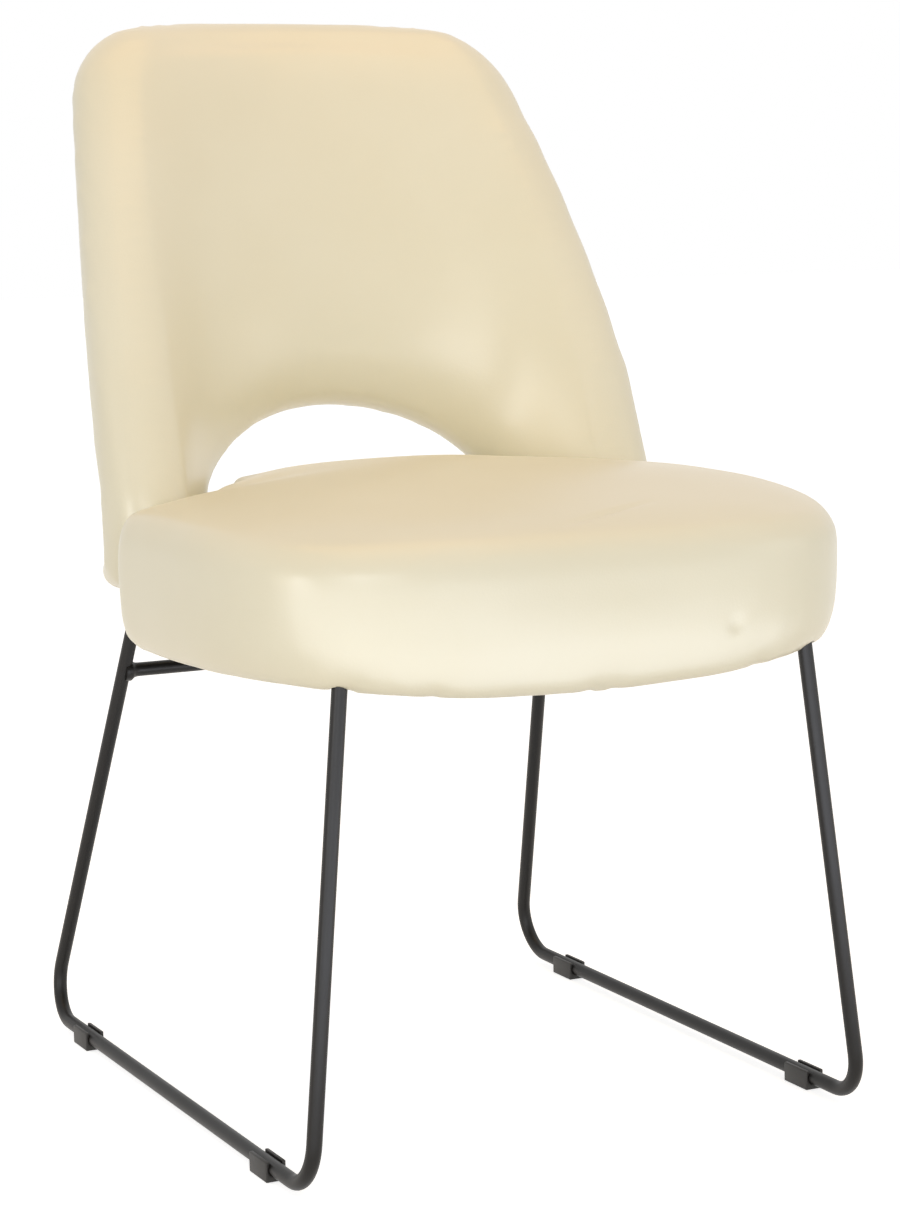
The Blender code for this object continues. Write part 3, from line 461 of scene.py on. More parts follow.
def leg_point(side, front, height):
    """Point on a leg's centre line at a height."""
    rise = height - RUNNER_HEIGHT
    end = -SLED_HALF_LENGTH if front else SLED_HALF_LENGTH
    rake = FRONT_RAKE if front else REAR_RAKE
    return Vector((side * (RUNNER_HALF_SPACING - LOOP_LEAN * rise), end + rake * rise, height))


print("top of a front leg", [round(c, 4) for c in leg_point(1, True, LEG_TOP)])

# %% Rod and bend
ROD_RADIUS = 0.0055
ROD_SIDES = 32
BEND_RADIUS = 0.032
BEND_STEPS = 14


def extrude(move):
    """Extrudes what is selected by a vector."""
    bpy.ops.mesh.extrude_region_move(TRANSFORM_OT_translate={"value": move})


def start_ring(name, centre, direction, radius, sides=ROD_SIDES):
    """A ring of edges across a direction, open in edit mode."""
    bpy.ops.object.select_all(action="DESELECT")
    bpy.ops.mesh.primitive_circle_add(vertices=sides, radius=radius, location=centre,
                                      rotation=direction.to_track_quat("Z", "Y").to_euler())
    ring = bpy.context.object
    ring.name = name
    bpy.ops.object.transform_apply(location=True, rotation=True, scale=True)
    edit(ring)
    return ring


def bent_rod(name, path):
    """A round rod along straight lengths with a bend at each inner point of the path."""
    rod = start_ring(name, path[0], path[1] - path[0], ROD_RADIUS)
    at = path[0]
    for corner, after in zip(path[1:], path[2:]):
        into, out = (corner - at).normalized(), (after - corner).normalized()
        sweep = into.angle(out)
        reach = BEND_RADIUS * math.tan(sweep / 2)
        bend_start = corner - into * reach
        extrude(bend_start - at)
        axis = into.cross(out).normalized()
        centre = bend_start + axis.cross(into) * BEND_RADIUS
        bpy.ops.mesh.spin(steps=BEND_STEPS, angle=-sweep, center=centre, axis=axis)
        at = corner + out * reach
    extrude(path[-1] - at)
    bpy.ops.mesh.select_all(action="SELECT")
    bpy.ops.mesh.fill_holes(sides=0)
    leave_edit()
    return rod


def level_top(rod):
    """Cuts a rod's ends level under the mounting bars."""
    edit(rod)
    bpy.ops.mesh.bisect(plane_co=(0, 0, LEG_TOP), plane_no=(0, 0, 1), clear_outer=True, use_fill=True)
    leave_edit()


# %% Both sled rods
SPARE = 0.02
rods = {}
for side, hand in ((-1, "left"), (1, "right")):
    heights = (LEG_TOP + SPARE, RUNNER_HEIGHT)
    front = [leg_point(side, True, h) for h in heights]
    rear = [leg_point(side, False, h) for h in reversed(heights)]
    rods[hand] = bent_rod(f"{hand}_sled_rod_round", front + rear)
    level_top(rods[hand])
    settle(rods[hand])
    dress(rods[hand], "black_powder_coat", coat, f"{hand}_sled_rod")

# %% [markdown]
# ## The rear cross bar and its welds
# A straight rod is welded between the rear legs to stop the loops from spreading. Its ends swell
# into fillet welds. The ring is widened in steps at each end, and the legs are then cut out of
# it, so that it wraps round them as a coped and welded rod does.

# %% Rear cross bar
CROSS_BAR_HEIGHT = 0.305
WELD = 0.0030
WELD_FLARE = ((-0.0005, 1.0), (0.0010, 0.62), (0.0022, 0.3), (0.0038, 0.1), (0.0060, 0.0))


def cross_bar():
    """The bar with a flared weld at each end."""
    end = leg_point(1, False, CROSS_BAR_HEIGHT)
    face = end.x - ROD_RADIUS
    steps = [(-end.x, WELD)] + [(along - face, share * WELD) for along, share in WELD_FLARE]
    steps += [(-x, flare) for x, flare in reversed(steps)]
    bar = start_ring("rear_cross_bar_round", Vector((steps[0][0], end.y, end.z)), Vector((1, 0, 0)),
                     ROD_RADIUS + steps[0][1])
    for (x0, flare0), (x1, flare1) in zip(steps, steps[1:]):
        extrude((x1 - x0, 0, 0))
        grow = (ROD_RADIUS + flare1) / (ROD_RADIUS + flare0)
        bpy.ops.transform.resize(value=(grow, grow, grow), center_override=(x1, end.y, end.z))
    bpy.ops.mesh.select_all(action="SELECT")
    bpy.ops.mesh.fill_holes(sides=0)
    leave_edit()
    settle(bar)
    return bar


bar = cross_bar()
for hand in ("left", "right"):
    combine(bar, rods[hand], "DIFFERENCE", keep_tool=True)
settle(bar, smooth_angle=50)
dress(bar, "black_powder_coat", coat, "rear_cross_bar")

# %% [markdown]
# ## The glides
# Four nylon channels snap over the runners and keep the steel off the floor. One is modelled: a
# block with rounded edges, bored for the rod and slotted from above so that two lips hold it.
# The other three are copies, each with its own mesh.

# %% One glide, then four
GLIDE_SIZE = (0.0150, 0.0310, 0.0145)
GLIDE_PLAY = 0.0003
GLIDE_LIP = 0.0010
GLIDE_ROUND, LIP_ROUND = 0.0009, 0.0003
SLOT_HEIGHT = 0.02
GLIDE_PLACES = {"front": -0.194, "rear": 0.180}


def one_glide():
    """A bored and slotted block at the middle of the floor."""
    bpy.ops.object.select_all(action="DESELECT")
    bpy.ops.mesh.primitive_cube_add(size=1.0, location=(0, 0, GLIDE_SIZE[2] / 2), scale=GLIDE_SIZE)
    block = bpy.context.object
    bpy.ops.object.transform_apply(location=True, rotation=True, scale=True)
    edit(block)
    bpy.ops.mesh.bevel(offset=GLIDE_ROUND, segments=3, affect="EDGES")
    leave_edit()
    bpy.ops.mesh.primitive_cylinder_add(vertices=32, radius=ROD_RADIUS + GLIDE_PLAY,
                                        depth=2 * GLIDE_SIZE[1], location=(0, 0, RUNNER_HEIGHT),
                                        rotation=(math.pi / 2, 0, 0))
    combine(block, bpy.context.object, "DIFFERENCE")
    mouth = 2 * (ROD_RADIUS + GLIDE_PLAY - GLIDE_LIP)
    bpy.ops.object.select_all(action="DESELECT")
    bpy.ops.mesh.primitive_cube_add(size=1.0, location=(0, 0, RUNNER_HEIGHT + SLOT_HEIGHT / 2),
                                    scale=(mouth, 2 * GLIDE_SIZE[1], SLOT_HEIGHT))
    combine(block, bpy.context.object, "DIFFERENCE")
    soft = block.modifiers.new("soft_edges", "BEVEL")
    soft.width = LIP_ROUND
    soft.segments = 2
    soft.limit_method = "ANGLE"
    soft.angle_limit = math.radians(50)
    apply_modifiers(block)
    return block


glide = one_glide()
for end, y in GLIDE_PLACES.items():
    for side, hand in ((-1, "left"), (1, "right")):
        copy = bpy.data.objects.new(f"{end}_{hand}_glide_moulded", glide.data.copy())
        bpy.context.scene.collection.objects.link(copy)
        copy.location = (side * RUNNER_HALF_SPACING, y, 0.0)
        settle(copy, smooth_angle=35)
        dress(copy, "black_plastic", nylon, f"{end}_{hand}_glide")
bpy.data.objects.remove(glide, do_unlink=True)

# %% [markdown]
# ## Bolts under the seat
# Button-head bolts with a hexagon socket hold the bars and brackets to the seat base. One bolt
# is modelled with a domed head and a pressed socket, and copied to each place that the CAD gives.

# %% One bolt, then all of them
HEAD_RADIUS, HEAD_HEIGHT = 0.00575, 0.0036
SHANK_RADIUS = 0.0029
HEAD_DOME = 0.0026
SOCKET_RADIUS, SOCKET_DEPTH = 0.0023, 0.0020
SHANK_LAP = 0.001


def one_bolt(length):
    """A button-head bolt, head down, its flat face at zero."""
    bpy.ops.object.select_all(action="DESELECT")
    bpy.ops.mesh.primitive_cylinder_add(vertices=32, radius=HEAD_RADIUS, depth=HEAD_HEIGHT,
                                        location=(0, 0, -HEAD_HEIGHT / 2))
    head = bpy.context.object
    bpy.ops.object.transform_apply(location=True, rotation=True, scale=True)
    bevel_edges(head, lambda a, b: max(a.z, b.z) < -HEAD_HEIGHT + 1e-6, HEAD_DOME, segments=6)
    bpy.ops.mesh.primitive_cylinder_add(vertices=6, radius=SOCKET_RADIUS, depth=2 * SOCKET_DEPTH,
                                        location=(0, 0, -HEAD_HEIGHT))
    combine(head, bpy.context.object, "DIFFERENCE")
    bpy.ops.object.select_all(action="DESELECT")
    bpy.ops.mesh.primitive_cylinder_add(vertices=24, radius=SHANK_RADIUS, depth=length + SHANK_LAP,
                                        location=(0, 0, (length - SHANK_LAP) / 2))
    combine(head, bpy.context.object, "UNION")
    return head


bolts = sorted(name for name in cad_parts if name.endswith("_bolt"))
for name in bolts:
    low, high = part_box(name)
    face = low.z + HEAD_HEIGHT
    made = one_bolt(high.z - face)
    made.name = f"{name}_button"
    made.location = ((low.x + high.x) / 2, (low.y + high.y) / 2, face)
    settle(made, smooth_angle=35)
    dress(made, "zinc_plate", zinc, name)

# %% [markdown]
# ## The blocks for the seat base's outline
# The plywood base is wide in front of the wings, narrower between them and narrowest under the
# arch. Three blocks with rounded upright corners make that outline, for the cloth under the base
# and for the hollow in the cushion.

# %% Joined blocks
# half width, front, rear, front corner radius, rear corner radius
BASE_PARTS = ((0.228, -0.2729, 0.0077, 0.090, 0.035), (0.138, -0.060, 0.1003, 0.012, 0.012),
              (0.090, 0.050, 0.1423, 0.012, 0.012))


def rounded_block(half, front, rear, front_radius, rear_radius, low, high):
    """A block with rounded upright corners."""
    bpy.ops.object.select_all(action="DESELECT")
    bpy.ops.mesh.primitive_cube_add(size=1.0, location=(0, (front + rear) / 2, (low + high) / 2),
                                    scale=(2 * half, rear - front, high - low))
    block = bpy.context.object
    bpy.ops.object.transform_apply(location=True, rotation=True, scale=True)
    for at, radius in ((front, front_radius), (rear, rear_radius)):
        def upright(a, b):
            return abs(a.z - b.z) > 0.9 * (high - low) and abs(a.y - at) < 1e-5

        bevel_edges(block, upright, radius, segments=8)
    return block


def base_block(low, high, grow):
    """The three blocks joined into one body, larger all round by a margin."""
    blocks = [rounded_block(half + grow, front - grow, rear + grow, r0 + grow, r1 + grow, low, high)
              for half, front, rear, r0, r1 in BASE_PARTS]
    for block in blocks[1:]:
        combine(blocks[0], block, "UNION")
    return blocks[0]


# %% [markdown]
# ## The dust cover
# Black fleece closes the underside. It is stapled round its edge and hangs a little between, so
# it is cut into a grid by bisecting it, and the inner points are let down by a few millimetres.

# %% Dust cover
COVER_LOW, COVER_HIGH = 0.3589, 0.3597
COVER_SAG = 0.0022
GRID, GRID_LINES, GRID_MIDDLE = 0.02, 11, -0.06
SAG_HALF_WIDTH, SAG_MIDDLE, SAG_HALF_LENGTH = 0.135, -0.09, 0.115
RIPPLE, RIPPLE_ACROSS, RIPPLE_SKEW, RIPPLE_ALONG = 0.25, 52, 9, 38


def dust_cover():
    """A thin sheet in the base's outline, let down between its edges."""
    cover = base_block(COVER_LOW, COVER_HIGH, 0.0)
    cover.name = "dust_cover_cloth"
    edit(cover)
    for k in range(-GRID_LINES, GRID_LINES + 1):
        bpy.ops.mesh.select_all(action="SELECT")
        bpy.ops.mesh.bisect(plane_co=(k * GRID, 0, 0), plane_no=(1, 0, 0))
        bpy.ops.mesh.select_all(action="SELECT")
        bpy.ops.mesh.bisect(plane_co=(0, k * GRID + GRID_MIDDLE, 0), plane_no=(0, 1, 0))
    leave_edit()
    for point in cover.data.vertices:
        x, y = point.co.x, point.co.y
        across = max(1 - (x / SAG_HALF_WIDTH) ** 4, 0.0)
        along = max(1 - ((y - SAG_MIDDLE) / SAG_HALF_LENGTH) ** 4, 0.0)
        wave = math.sin(RIPPLE_ACROSS * x + RIPPLE_SKEW * y) * math.sin(RIPPLE_ALONG * y)
        ripple = 1 - RIPPLE + RIPPLE * wave
        point.co.z -= COVER_SAG * across * along * ripple
    return cover


cover = dust_cover()
settle(cover, smooth_angle=30)
dress(cover, "black_dust_cloth", fleece, "dust_cover")

# %% [markdown]
# ## Staples
# Wire staples hold the fleece and the vinyl's turned-in edge to the plywood. Only a staple's crown
# shows, so one crown is modelled and copied along the edges that the steel leaves free, each
# copy turned a little as from a hand-held stapler.

# %% Staples
STAPLE_RUNS = (((-0.2150, -0.16), (-0.2150, -0.035), 6), ((0.2150, -0.16), (0.2150, -0.035), 6),
               ((-0.165, 0.000), (-0.195, 0.000), 2), ((0.165, 0.000), (0.195, 0.000), 2))
STAPLE_SIZE, STAPLE_ROUND = (0.0115, 0.0013, 0.0006), 0.00028
STAPLE_TURN = 12


def one_staple():
    """The crown of a staple with rounded ends."""
    bpy.ops.object.select_all(action="DESELECT")
    bpy.ops.mesh.primitive_cube_add(size=1.0, location=(0, 0, 0), scale=STAPLE_SIZE)
    wire = bpy.context.object
    bpy.ops.object.transform_apply(location=True, rotation=True, scale=True)
    edit(wire)
    bpy.ops.mesh.bevel(offset=STAPLE_ROUND, segments=2, affect="EDGES")
    leave_edit()
    return wire


def staples():
    """All staples in one mesh."""
    wire = one_staple()
    copies = []
    for start, end, count in STAPLE_RUNS:
        along = Vector(end) - Vector(start)
        for k in range(count):
            spot = Vector(start) + along * (k / max(count - 1, 1))
            copy = bpy.data.objects.new("staple", wire.data.copy())
            bpy.context.scene.collection.objects.link(copy)
            copy.location = (spot.x, spot.y, COVER_LOW - STAPLE_SIZE[2] / 2)
            turn = math.radians(STAPLE_TURN * (-1) ** k)
            copy.rotation_euler = (0, 0, math.atan2(along.y, along.x) + turn)
            copies.append(copy)
    bpy.ops.object.select_all(action="DESELECT")
    for copy in copies:
        copy.select_set(True)
    bpy.context.view_layer.objects.active = copies[0]
    bpy.ops.object.join()
    bpy.data.objects.remove(wire, do_unlink=True)
    return copies[0]


row = staples()
row.name = "dust_cover_staples"
settle(row, smooth_angle=35)
dress(row, "zinc_plate", zinc)

# %% [markdown]
# ## How a soft cover is made
# The foam's shape is in the CAD solid, but with flat facets. A copy of it is wrapped in an even
# skin by a voxel remesh, smoothed, drawn in a little and then blown up by a cloth simulation with
# inside pressure, as foam fills its cover. Points that are stapled or glued stay. Free cloth would
# buckle, so only the outward part of each point's movement is kept, evened out and within limits.
# One subdivision rounds what is left.

# %% Copying and wrapping a CAD solid
def cad_copy(node, name):
    """A merged copy of a CAD node's mesh as a new object."""
    copy = bpy.data.objects.new(name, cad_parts[node].data.copy())
    bpy.context.scene.collection.objects.link(copy)
    edit(copy)
    bpy.ops.mesh.remove_doubles(threshold=1e-5)
    leave_edit()
    return copy


def even_skin(piece, voxel):
    """Wraps a piece in an even mesh."""
    step = piece.modifiers.new("skin", "REMESH")
    step.mode = "VOXEL"
    step.voxel_size = voxel
    apply_modifiers(piece)


# %% Points as arrays
def points_of(piece):
    """A piece's points as an array."""
    flat = np.zeros(len(piece.data.vertices) * 3)
    piece.data.vertices.foreach_get("co", flat)
    return flat.reshape(-1, 3)


def normals_of(piece):
    """The directions that a piece's points face."""
    flat = np.zeros(len(piece.data.vertices) * 3)
    piece.data.vertices.foreach_get("normal", flat)
    return flat.reshape(-1, 3)


def move_points(piece, points):
    """Puts an array of points back into a piece."""
    piece.data.vertices.foreach_set("co", points.ravel())
    piece.data.update()


def mark(piece, name, shares):
    """Makes a vertex group from an array of shares from 0 to 1."""
    group = piece.vertex_groups.new(name=name)
    for step in range(1, 11):
        chosen = np.flatnonzero(np.round(shares * 10) == step)
        group.add([int(k) for k in chosen], step / 10, "REPLACE")


# %% Smoothing
def neighbour_means(piece):
    """A function that gives, for values on a mesh's points, the mean over the neighbours of each."""
    ends = np.zeros(len(piece.data.edges) * 2, dtype=np.int64)
    piece.data.edges.foreach_get("vertices", ends)
    a, b = ends.reshape(-1, 2).T
    size = len(piece.data.vertices)
    count = np.maximum(np.bincount(ends, minlength=size), 1)
    return lambda values: (np.bincount(a, values[b], size) + np.bincount(b, values[a], size)) / count


def smoothed(piece, turns, back=0.52, share=1.0):
    """Evens out bumps: each turn goes half way to the neighbours' mean, then back out again."""
    means = neighbour_means(piece)
    points = points_of(piece)
    for _ in range(turns):
        for step in (0.5, -back):
            for axis in range(3):
                points[:, axis] += step * share * (means(points[:, axis]) - points[:, axis])
    move_points(piece, points)


# %% Swelling by cloth pressure
CLOTH_FRAMES = 20


def swell(piece, pressure, draw_in, least, cap, held, evening):
    """Draws a piece in, blows it up by cloth pressure, and keeps the outward movement within limits."""
    start, facing = points_of(piece), normals_of(piece)
    move_points(piece, start - facing * (draw_in * (1 - held))[:, None])
    mark(piece, "held", held)
    step = piece.modifiers.new("swell", "CLOTH")
    step.settings.use_pressure = True
    step.settings.uniform_pressure_force = pressure
    step.settings.effector_weights.gravity = 0.0
    step.settings.vertex_group_mass = "held"
    step.point_cache.frame_start, step.point_cache.frame_end = 1, CLOTH_FRAMES
    for number in range(1, CLOTH_FRAMES + 1):
        bpy.context.scene.frame_set(number)
    apply_modifiers(piece)
    bpy.context.scene.frame_set(1)
    outward = np.sum((points_of(piece) - start) * facing, axis=1)
    means = neighbour_means(piece)
    kept = np.clip(outward, least, cap) * (1 - held)
    for _ in range(evening):
        kept = 0.5 * kept + 0.5 * means(kept)
    move_points(piece, start + facing * kept[:, None])
    print(piece.name, "came out by", round(float(outward.max()) * 1000, 1), "mm, kept",
          round(float(kept.max()) * 1000, 1))


def rounded(piece):
    """One subdivision, applied."""
    step = piece.modifiers.new("round", "SUBSURF")
    step.levels = step.render_levels = 1
    apply_modifiers(piece)


# %% [markdown]
# ## The seat
# The cushion is moulded foam over the plywood, covered in one piece of vinyl that is pulled
# under and stapled. Its hollow is filled first so that only the outside is smoothed, and cut out
# again at the end together with room for the front legs. A thin lower lip would be lost in the
# remesh, so a soft roll is laid along it as a tube. Then the top is shaped as use shapes it.

# %% A roll along the lower edge
PLAN_HALF, PLAN_WIDEST, PLAN_REACH, PLAN_POWER = 0.247, -0.055, 0.244, 2 / 3.8
RIM_INSET, RIM_RADIUS, RIM_LOWER, RIM_STEPS = 0.0150, 0.0090, 0.0025, 24
RIM_DROPS = (0.012, 0.021)
RIM_SHOULDER, RIM_SHOULDER_RISE = -0.015, 0.002


def rim_path():
    """Points along the seat's lower edge, from one shoulder round the front to the other."""
    path = []
    for k in range(-RIM_STEPS, RIM_STEPS + 1):
        turn = math.pi / 2 * k / RIM_STEPS
        across = math.copysign(abs(math.sin(turn)) ** PLAN_POWER, turn)
        ahead = max(math.cos(turn), 0.0) ** PLAN_POWER
        x = (PLAN_HALF - RIM_INSET) * across
        y = PLAN_WIDEST - (PLAN_REACH - RIM_INSET) * ahead
        eased = ahead * ahead * (3 - 2 * ahead)
        drop = RIM_DROPS[0] * (1 - eased / 2) + RIM_DROPS[1] * eased * (1 - across * across)
        path.append(Vector((x, y, COVER_LOW - drop - RIM_LOWER + RIM_RADIUS)))
    for side, place in ((-1, 0), (1, len(path))):
        height = path[place - side].z + RIM_SHOULDER_RISE
        path.insert(place, Vector((side * (PLAN_HALF - RIM_INSET), RIM_SHOULDER, height)))
    return path


def rim_roll():
    """A soft roll along the lower edge, as a tube."""
    curve = bpy.data.curves.new("rim_roll", "CURVE")
    curve.dimensions = "3D"
    curve.bevel_depth = RIM_RADIUS
    curve.bevel_resolution = 4
    curve.use_fill_caps = True
    path = rim_path()
    spline = curve.splines.new("POLY")
    spline.points.add(len(path) - 1)
    for point, place in zip(spline.points, path):
        point.co = (*place, 1.0)
    roll = bpy.data.objects.new("rim_roll", curve)
    bpy.context.scene.collection.objects.link(roll)
    only(roll)
    bpy.ops.object.convert(target="MESH")
    return bpy.context.object


def join_into(piece, other):
    """Joins another object's mesh into a piece."""
    bpy.ops.object.select_all(action="DESELECT")
    other.select_set(True)
    piece.select_set(True)
    bpy.context.view_layer.objects.active = piece
    bpy.ops.object.join()


print("the roll follows", len(rim_path()), "points")

# %% How use shapes the top
CROWN_START, CROWN_LESS = 0.4555, 0.20
FRONT_FALL, FALL_START, FALL_LENGTH, FALL_LOW, FALL_RISE = 0.006, -0.13, 0.13, 0.408, 0.034
WING_PRESS, PRESS_WIDTH, PRESS_LOW, PRESS_RISE = 0.004, 0.014, 0.425, 0.03
PRESS_WAVE, WAVE_ALONG, WAVE_ACROSS = 0.25, 0.009, 0.013


def ease(share):
    """A smooth step from 0 to 1."""
    share = np.clip(share, 0, 1)
    return share * share * (3 - 2 * share)


def flatten_crown(points):
    """Takes some of the height out of the crown, as the tight cover does."""
    points[:, 2] -= CROWN_LESS * np.maximum(points[:, 2] - CROWN_START, 0.0)


def fall_in_front(points):
    """Lets the top run down towards the front edge, where the sitter's knees bend."""
    ahead = ease((FALL_START - points[:, 1]) / FALL_LENGTH)
    high = ease((points[:, 2] - FALL_LOW) / FALL_RISE)
    points[:, 2] -= FRONT_FALL * ahead * high


def nearest_to(node):
    """A search tree over a CAD node's faces."""
    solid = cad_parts[node].data
    solid.calc_loop_triangles()
    faces = [tuple(t.vertices) for t in solid.loop_triangles]
    return BVHTree.FromPolygons([v.co for v in solid.vertices], faces)


def press_under_wings(points):
    """Lowers the top where the feet of the wings press on it, with a slight wave along the line."""
    tree = nearest_to("back_pad")
    gaps = np.array([tree.find_nearest(p)[3] for p in points])
    high = ease((points[:, 2] - PRESS_LOW) / PRESS_RISE)
    wave = np.sin(points[:, 1] / WAVE_ALONG) * np.sin(points[:, 0] / WAVE_ACROSS + 1.0)
    points[:, 2] -= WING_PRESS * np.exp(-(gaps / PRESS_WIDTH) ** 2) * high * (1 + PRESS_WAVE * wave)


# %% The rim's line, a crease and a dimple
RIM_SWEEP, RIM_WINDOW = 100.0, 8
RIM_STOP, RIM_FADE, RIM_FADE_ANGLE = 2.0, 0.04, 10.0
CREASE, CREASE_LOW = ((-0.027, -0.276), (0.072, -0.239)), 0.42
CREASE_DEPTH, CREASE_WIDTH = 0.0018, 0.0030
DIMPLE, DIMPLE_DEPTH, DIMPLE_WIDTH = (0.1016, -0.2967, 0.3711), 0.0012, 0.0060


def true_up_rim(points):
    """Takes the remesh's small steps out of the lower rim's line, seen round the seat's middle."""
    turn = np.degrees(np.arctan2(points[:, 0], PLAN_WIDEST - points[:, 1]))
    stops = np.arange(-RIM_SWEEP, RIM_SWEEP + RIM_STOP / 2, RIM_STOP)
    lowest = np.array([points[np.abs(turn - stop) < 0.75 * RIM_STOP, 2].min() for stop in stops])
    line = np.pad(lowest, RIM_WINDOW, mode="reflect", reflect_type="odd")
    even = np.convolve(line, np.hanning(2 * RIM_WINDOW + 1) / RIM_WINDOW, mode="valid")
    fade = 1 - ease((points[:, 2] - np.interp(turn, stops, lowest)) / RIM_FADE)
    fade *= 1 - ease((np.abs(turn) - RIM_SWEEP + RIM_FADE_ANGLE) / RIM_FADE_ANGLE)
    points[:, 2] += np.interp(turn, stops, even - lowest) * fade


def mark_cover(piece):
    """Presses a fine crease into the front roll and a small dimple into the front."""
    points = points_of(piece)
    start, end = np.array(CREASE[0]), np.array(CREASE[1])
    along = np.clip((points[:, :2] - start) @ (end - start) / np.sum((end - start) ** 2), 0, 1)
    gap = np.linalg.norm(points[:, :2] - start - along[:, None] * (end - start), axis=1)
    depth = CREASE_DEPTH * np.exp(-(gap / CREASE_WIDTH) ** 2) * np.sin(np.pi * along)
    depth *= points[:, 2] > CREASE_LOW
    reach = np.sum((points - np.array(DIMPLE)) ** 2, axis=1)
    depth += DIMPLE_DEPTH * np.exp(-reach / DIMPLE_WIDTH ** 2)
    move_points(piece, points - normals_of(piece) * depth[:, None])


# %% Seat cushion
SEAT_VOXEL = 0.006
BASE_SPACE_TOP, FILL_LAP = 0.3772, 0.002
TOP_LOW, TOP_RISE = 0.445, 0.012
RIM_TOP, RIM_SPAN = 0.372, 0.008
HELD_TOP, HELD_SPAN, HELD_FACING = 0.366, 0.010, 0.5
FACING_LOW, FACING_RISE = 0.75, 0.2


def seat_cover():
    """The cushion's outer form, smooth and full."""
    cushion = cad_copy("seat_cushion", "seat_cushion_cover")
    combine(cushion, base_block(COVER_HIGH, BASE_SPACE_TOP + FILL_LAP, FILL_LAP), "UNION")
    join_into(cushion, rim_roll())
    even_skin(cushion, SEAT_VOXEL)
    smoothed(cushion, turns=30)
    points, facing = points_of(cushion), normals_of(cushion)
    flatten_crown(points)
    move_points(cushion, points)
    top = np.clip((points[:, 2] - TOP_LOW) / TOP_RISE, 0, 1)
    top *= np.clip((facing[:, 2] - FACING_LOW) / FACING_RISE, 0, 1)
    smoothed(cushion, turns=60, back=0.0, share=top)
    low = np.clip((RIM_TOP - points[:, 2]) / RIM_SPAN, 0, 1)
    smoothed(cushion, turns=24, back=0.42, share=low)
    held = np.clip((HELD_TOP - points[:, 2]) / HELD_SPAN, 0, 1)
    held *= np.clip(-facing[:, 2] / HELD_FACING, 0, 1)
    swell(cushion, pressure=4.0, draw_in=0.0015, least=0.0, cap=0.002, held=held, evening=25)
    points = points_of(cushion)
    fall_in_front(points)
    press_under_wings(points)
    true_up_rim(points)
    move_points(cushion, points)
    rounded(cushion)
    mark_cover(cushion)
    return cushion


seat = seat_cover()
low, high = points_of(seat).min(0), points_of(seat).max(0)
print("seat from", low.round(4).tolist(), "to", high.round(4).tolist())

# %% [markdown]
# ## Room for wood and steel
# The hollow for the base and the room for the legs and the front bar are cut with the blocks made
# above, two plain rods a little thicker than the legs, and a larger copy of the bar. What foam
# would still reach into the plywood is pressed out of it.

# %% Tools for the cuts
LEG_ROOM, LEG_ROOM_LOW, LEG_ROOM_HIGH = 0.0016, 0.31, 0.3586
BAR_ROOM = 0.0010


def leg_room(side):
    """A straight rod round the top of a front leg."""
    low, high = leg_point(side, True, LEG_ROOM_LOW), leg_point(side, True, LEG_ROOM_HIGH)
    bpy.ops.object.select_all(action="DESELECT")
    bpy.ops.mesh.primitive_cylinder_add(vertices=24, radius=ROD_RADIUS + LEG_ROOM,
                                        depth=(high - low).length, location=(low + high) / 2,
                                        rotation=(high - low).to_track_quat("Z", "Y").to_euler())
    return bpy.context.object


def bar_room():
    """A copy of the front bar, a little larger all round."""
    room = cad_copy("front_mounting_bar", "bar_room")
    move_points(room, points_of(room) + BAR_ROOM * normals_of(room))
    return room


# %% Hollow and room
BASE_ROOM, COVER_ROOM = 0.0008, 0.0003
PRESS_REACH, PRESS_MARGIN = 0.009, 0.0004
WELL_INSIDE = 0.7


def clear_of(piece, node):
    """Presses a soft piece's points out of a hard CAD node."""
    tree = nearest_to(node)
    points = points_of(piece)
    for k, point in enumerate(points):
        spot, facing, _, gap = tree.find_nearest(point, PRESS_REACH)
        if spot is not None and (Vector(point) - spot).dot(facing) < -WELL_INSIDE * gap:
            points[k] = spot + facing * PRESS_MARGIN
    move_points(piece, points)


combine(seat, base_block(COVER_LOW - COVER_ROOM, BASE_SPACE_TOP, BASE_ROOM), "DIFFERENCE")
for side in (-1, 1):
    combine(seat, leg_room(side), "DIFFERENCE")
combine(seat, bar_room(), "DIFFERENCE")
clear_of(seat, "seat_base")
settle(seat, smooth_angle=60)
dress(seat, "cream_vinyl", vinyl, "seat_cushion")

# %% [markdown]
# ## The back
# The back is a padded wing that wraps round the sitter, rolled over at all its edges. It could be
# bent from a flat quilt, but the CAD solid already has its bends and its pockets for the steel
# straps. The face against the plywood core is glued and the edge meets the outer panel, so those
# points are held. The side that faces the sitter is smoothed once more, because gloss shows facets.

# %% Drooping, held and facing points
CORNER_DROOP, DROOP_START, DROOP_WIDTH, DROOP_LOW, DROOP_RISE = 0.004, 0.06, 0.10, 0.68, 0.10


def droop_corners(piece):
    """Lets the top edge fall a little towards the wings."""
    points = points_of(piece)
    beside = ease((np.abs(points[:, 0]) - DROOP_START) / DROOP_WIDTH)
    points[:, 2] -= CORNER_DROOP * beside * ease((points[:, 2] - DROOP_LOW) / DROOP_RISE)
    move_points(piece, points)


def glued_share(piece, node, near, far):
    """How firmly each point is held by a CAD node, by its distance from it."""
    tree = nearest_to(node)
    gaps = np.array([tree.find_nearest(v.co)[3] for v in piece.data.vertices])
    return np.clip((far - gaps) / (far - near), 0, 1)


def facing_sitter(piece):
    """How far each point faces the sitter, from 0 at the edges to 1 on the inside of the back."""
    inward = -points_of(piece)[:, :2]
    inward /= np.linalg.norm(inward, axis=1)[:, None]
    facing = np.sum(normals_of(piece)[:, :2] * inward, axis=1)
    return np.clip((facing - FACING_LOW) / FACING_RISE, 0, 1)


# %% Back pad
BACK_VOXEL = 0.006


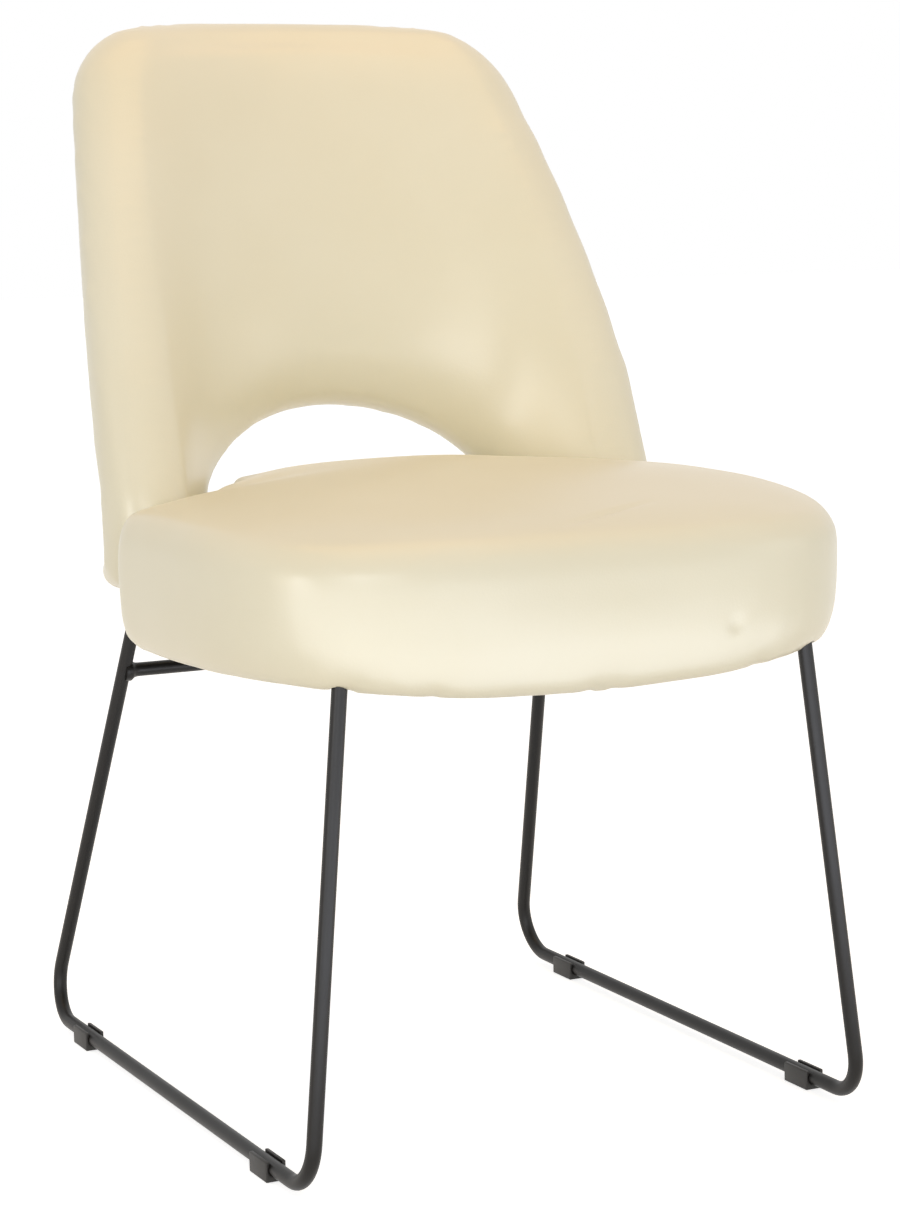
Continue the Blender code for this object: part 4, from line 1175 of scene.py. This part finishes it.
def back_cover():
    """The back's padded side, smooth and full."""
    pad = cad_copy("back_pad", "back_pad_cover")
    even_skin(pad, BACK_VOXEL)
    smoothed(pad, turns=60)
    smoothed(pad, turns=60, back=0.0, share=facing_sitter(pad))
    droop_corners(pad)
    held = np.maximum(glued_share(pad, "back_core", near=0.003, far=0.008),
                      glued_share(pad, "back_outer_panel", near=0.002, far=0.006))
    swell(pad, pressure=4.0, draw_in=0.0015, least=0.002, cap=0.004, held=held, evening=60)
    rounded(pad)
    for node in ("back_core", "left_back_bracket", "right_back_bracket"):
        clear_of(pad, node)
    return pad


back = back_cover()
settle(back, smooth_angle=60)
dress(back, "cream_vinyl", vinyl, "back_pad")

# %% [markdown]
# ## The outer panel of the back
# The outside of the back is a separate thin pad that closes the shell. It is slightly domed and
# its edge is tucked into the rolled edge, which leaves a seam all round. It is made as the pad is,
# with a finer skin, because it is thin, and with its edge held so that the seam stays narrow.

# %% Outer panel
PANEL_VOXEL = 0.004


def outer_cover():
    """The outer panel, smooth and slightly domed."""
    panel = cad_copy("back_outer_panel", "back_outer_panel_cover")
    even_skin(panel, PANEL_VOXEL)
    smoothed(panel, turns=40)
    droop_corners(panel)
    held = np.maximum(glued_share(panel, "back_core", near=0.001, far=0.004),
                      glued_share(panel, "back_pad", near=0.002, far=0.005))
    swell(panel, pressure=3.0, draw_in=0.0005, least=0.0, cap=0.002, held=held, evening=12)
    rounded(panel)
    return panel


panel = outer_cover()
settle(panel, smooth_angle=60)
dress(panel, "cream_vinyl", vinyl, "back_outer_panel")

# %% [markdown]
# ## Finishes on the CAD pieces that stay
# The flat bars, brackets, tee nuts, screws and plywood are already right in shape, so they only
# get their materials.

# %% CAD nodes
KEPT = {"front_mounting_bar": coat, "rear_mounting_bar": coat, "left_back_bracket": coat,
        "right_back_bracket": coat, "seat_base": plywood, "back_core": plywood}
for name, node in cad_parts.items():
    finish = zinc if name.endswith(("tee_nut", "screw")) else KEPT.get(name)
    if finish:
        node.data.materials.clear()
        node.data.materials.append(finish)
print("finished", sum(1 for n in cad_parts.values() if not n.hide_render), "CAD nodes that show")
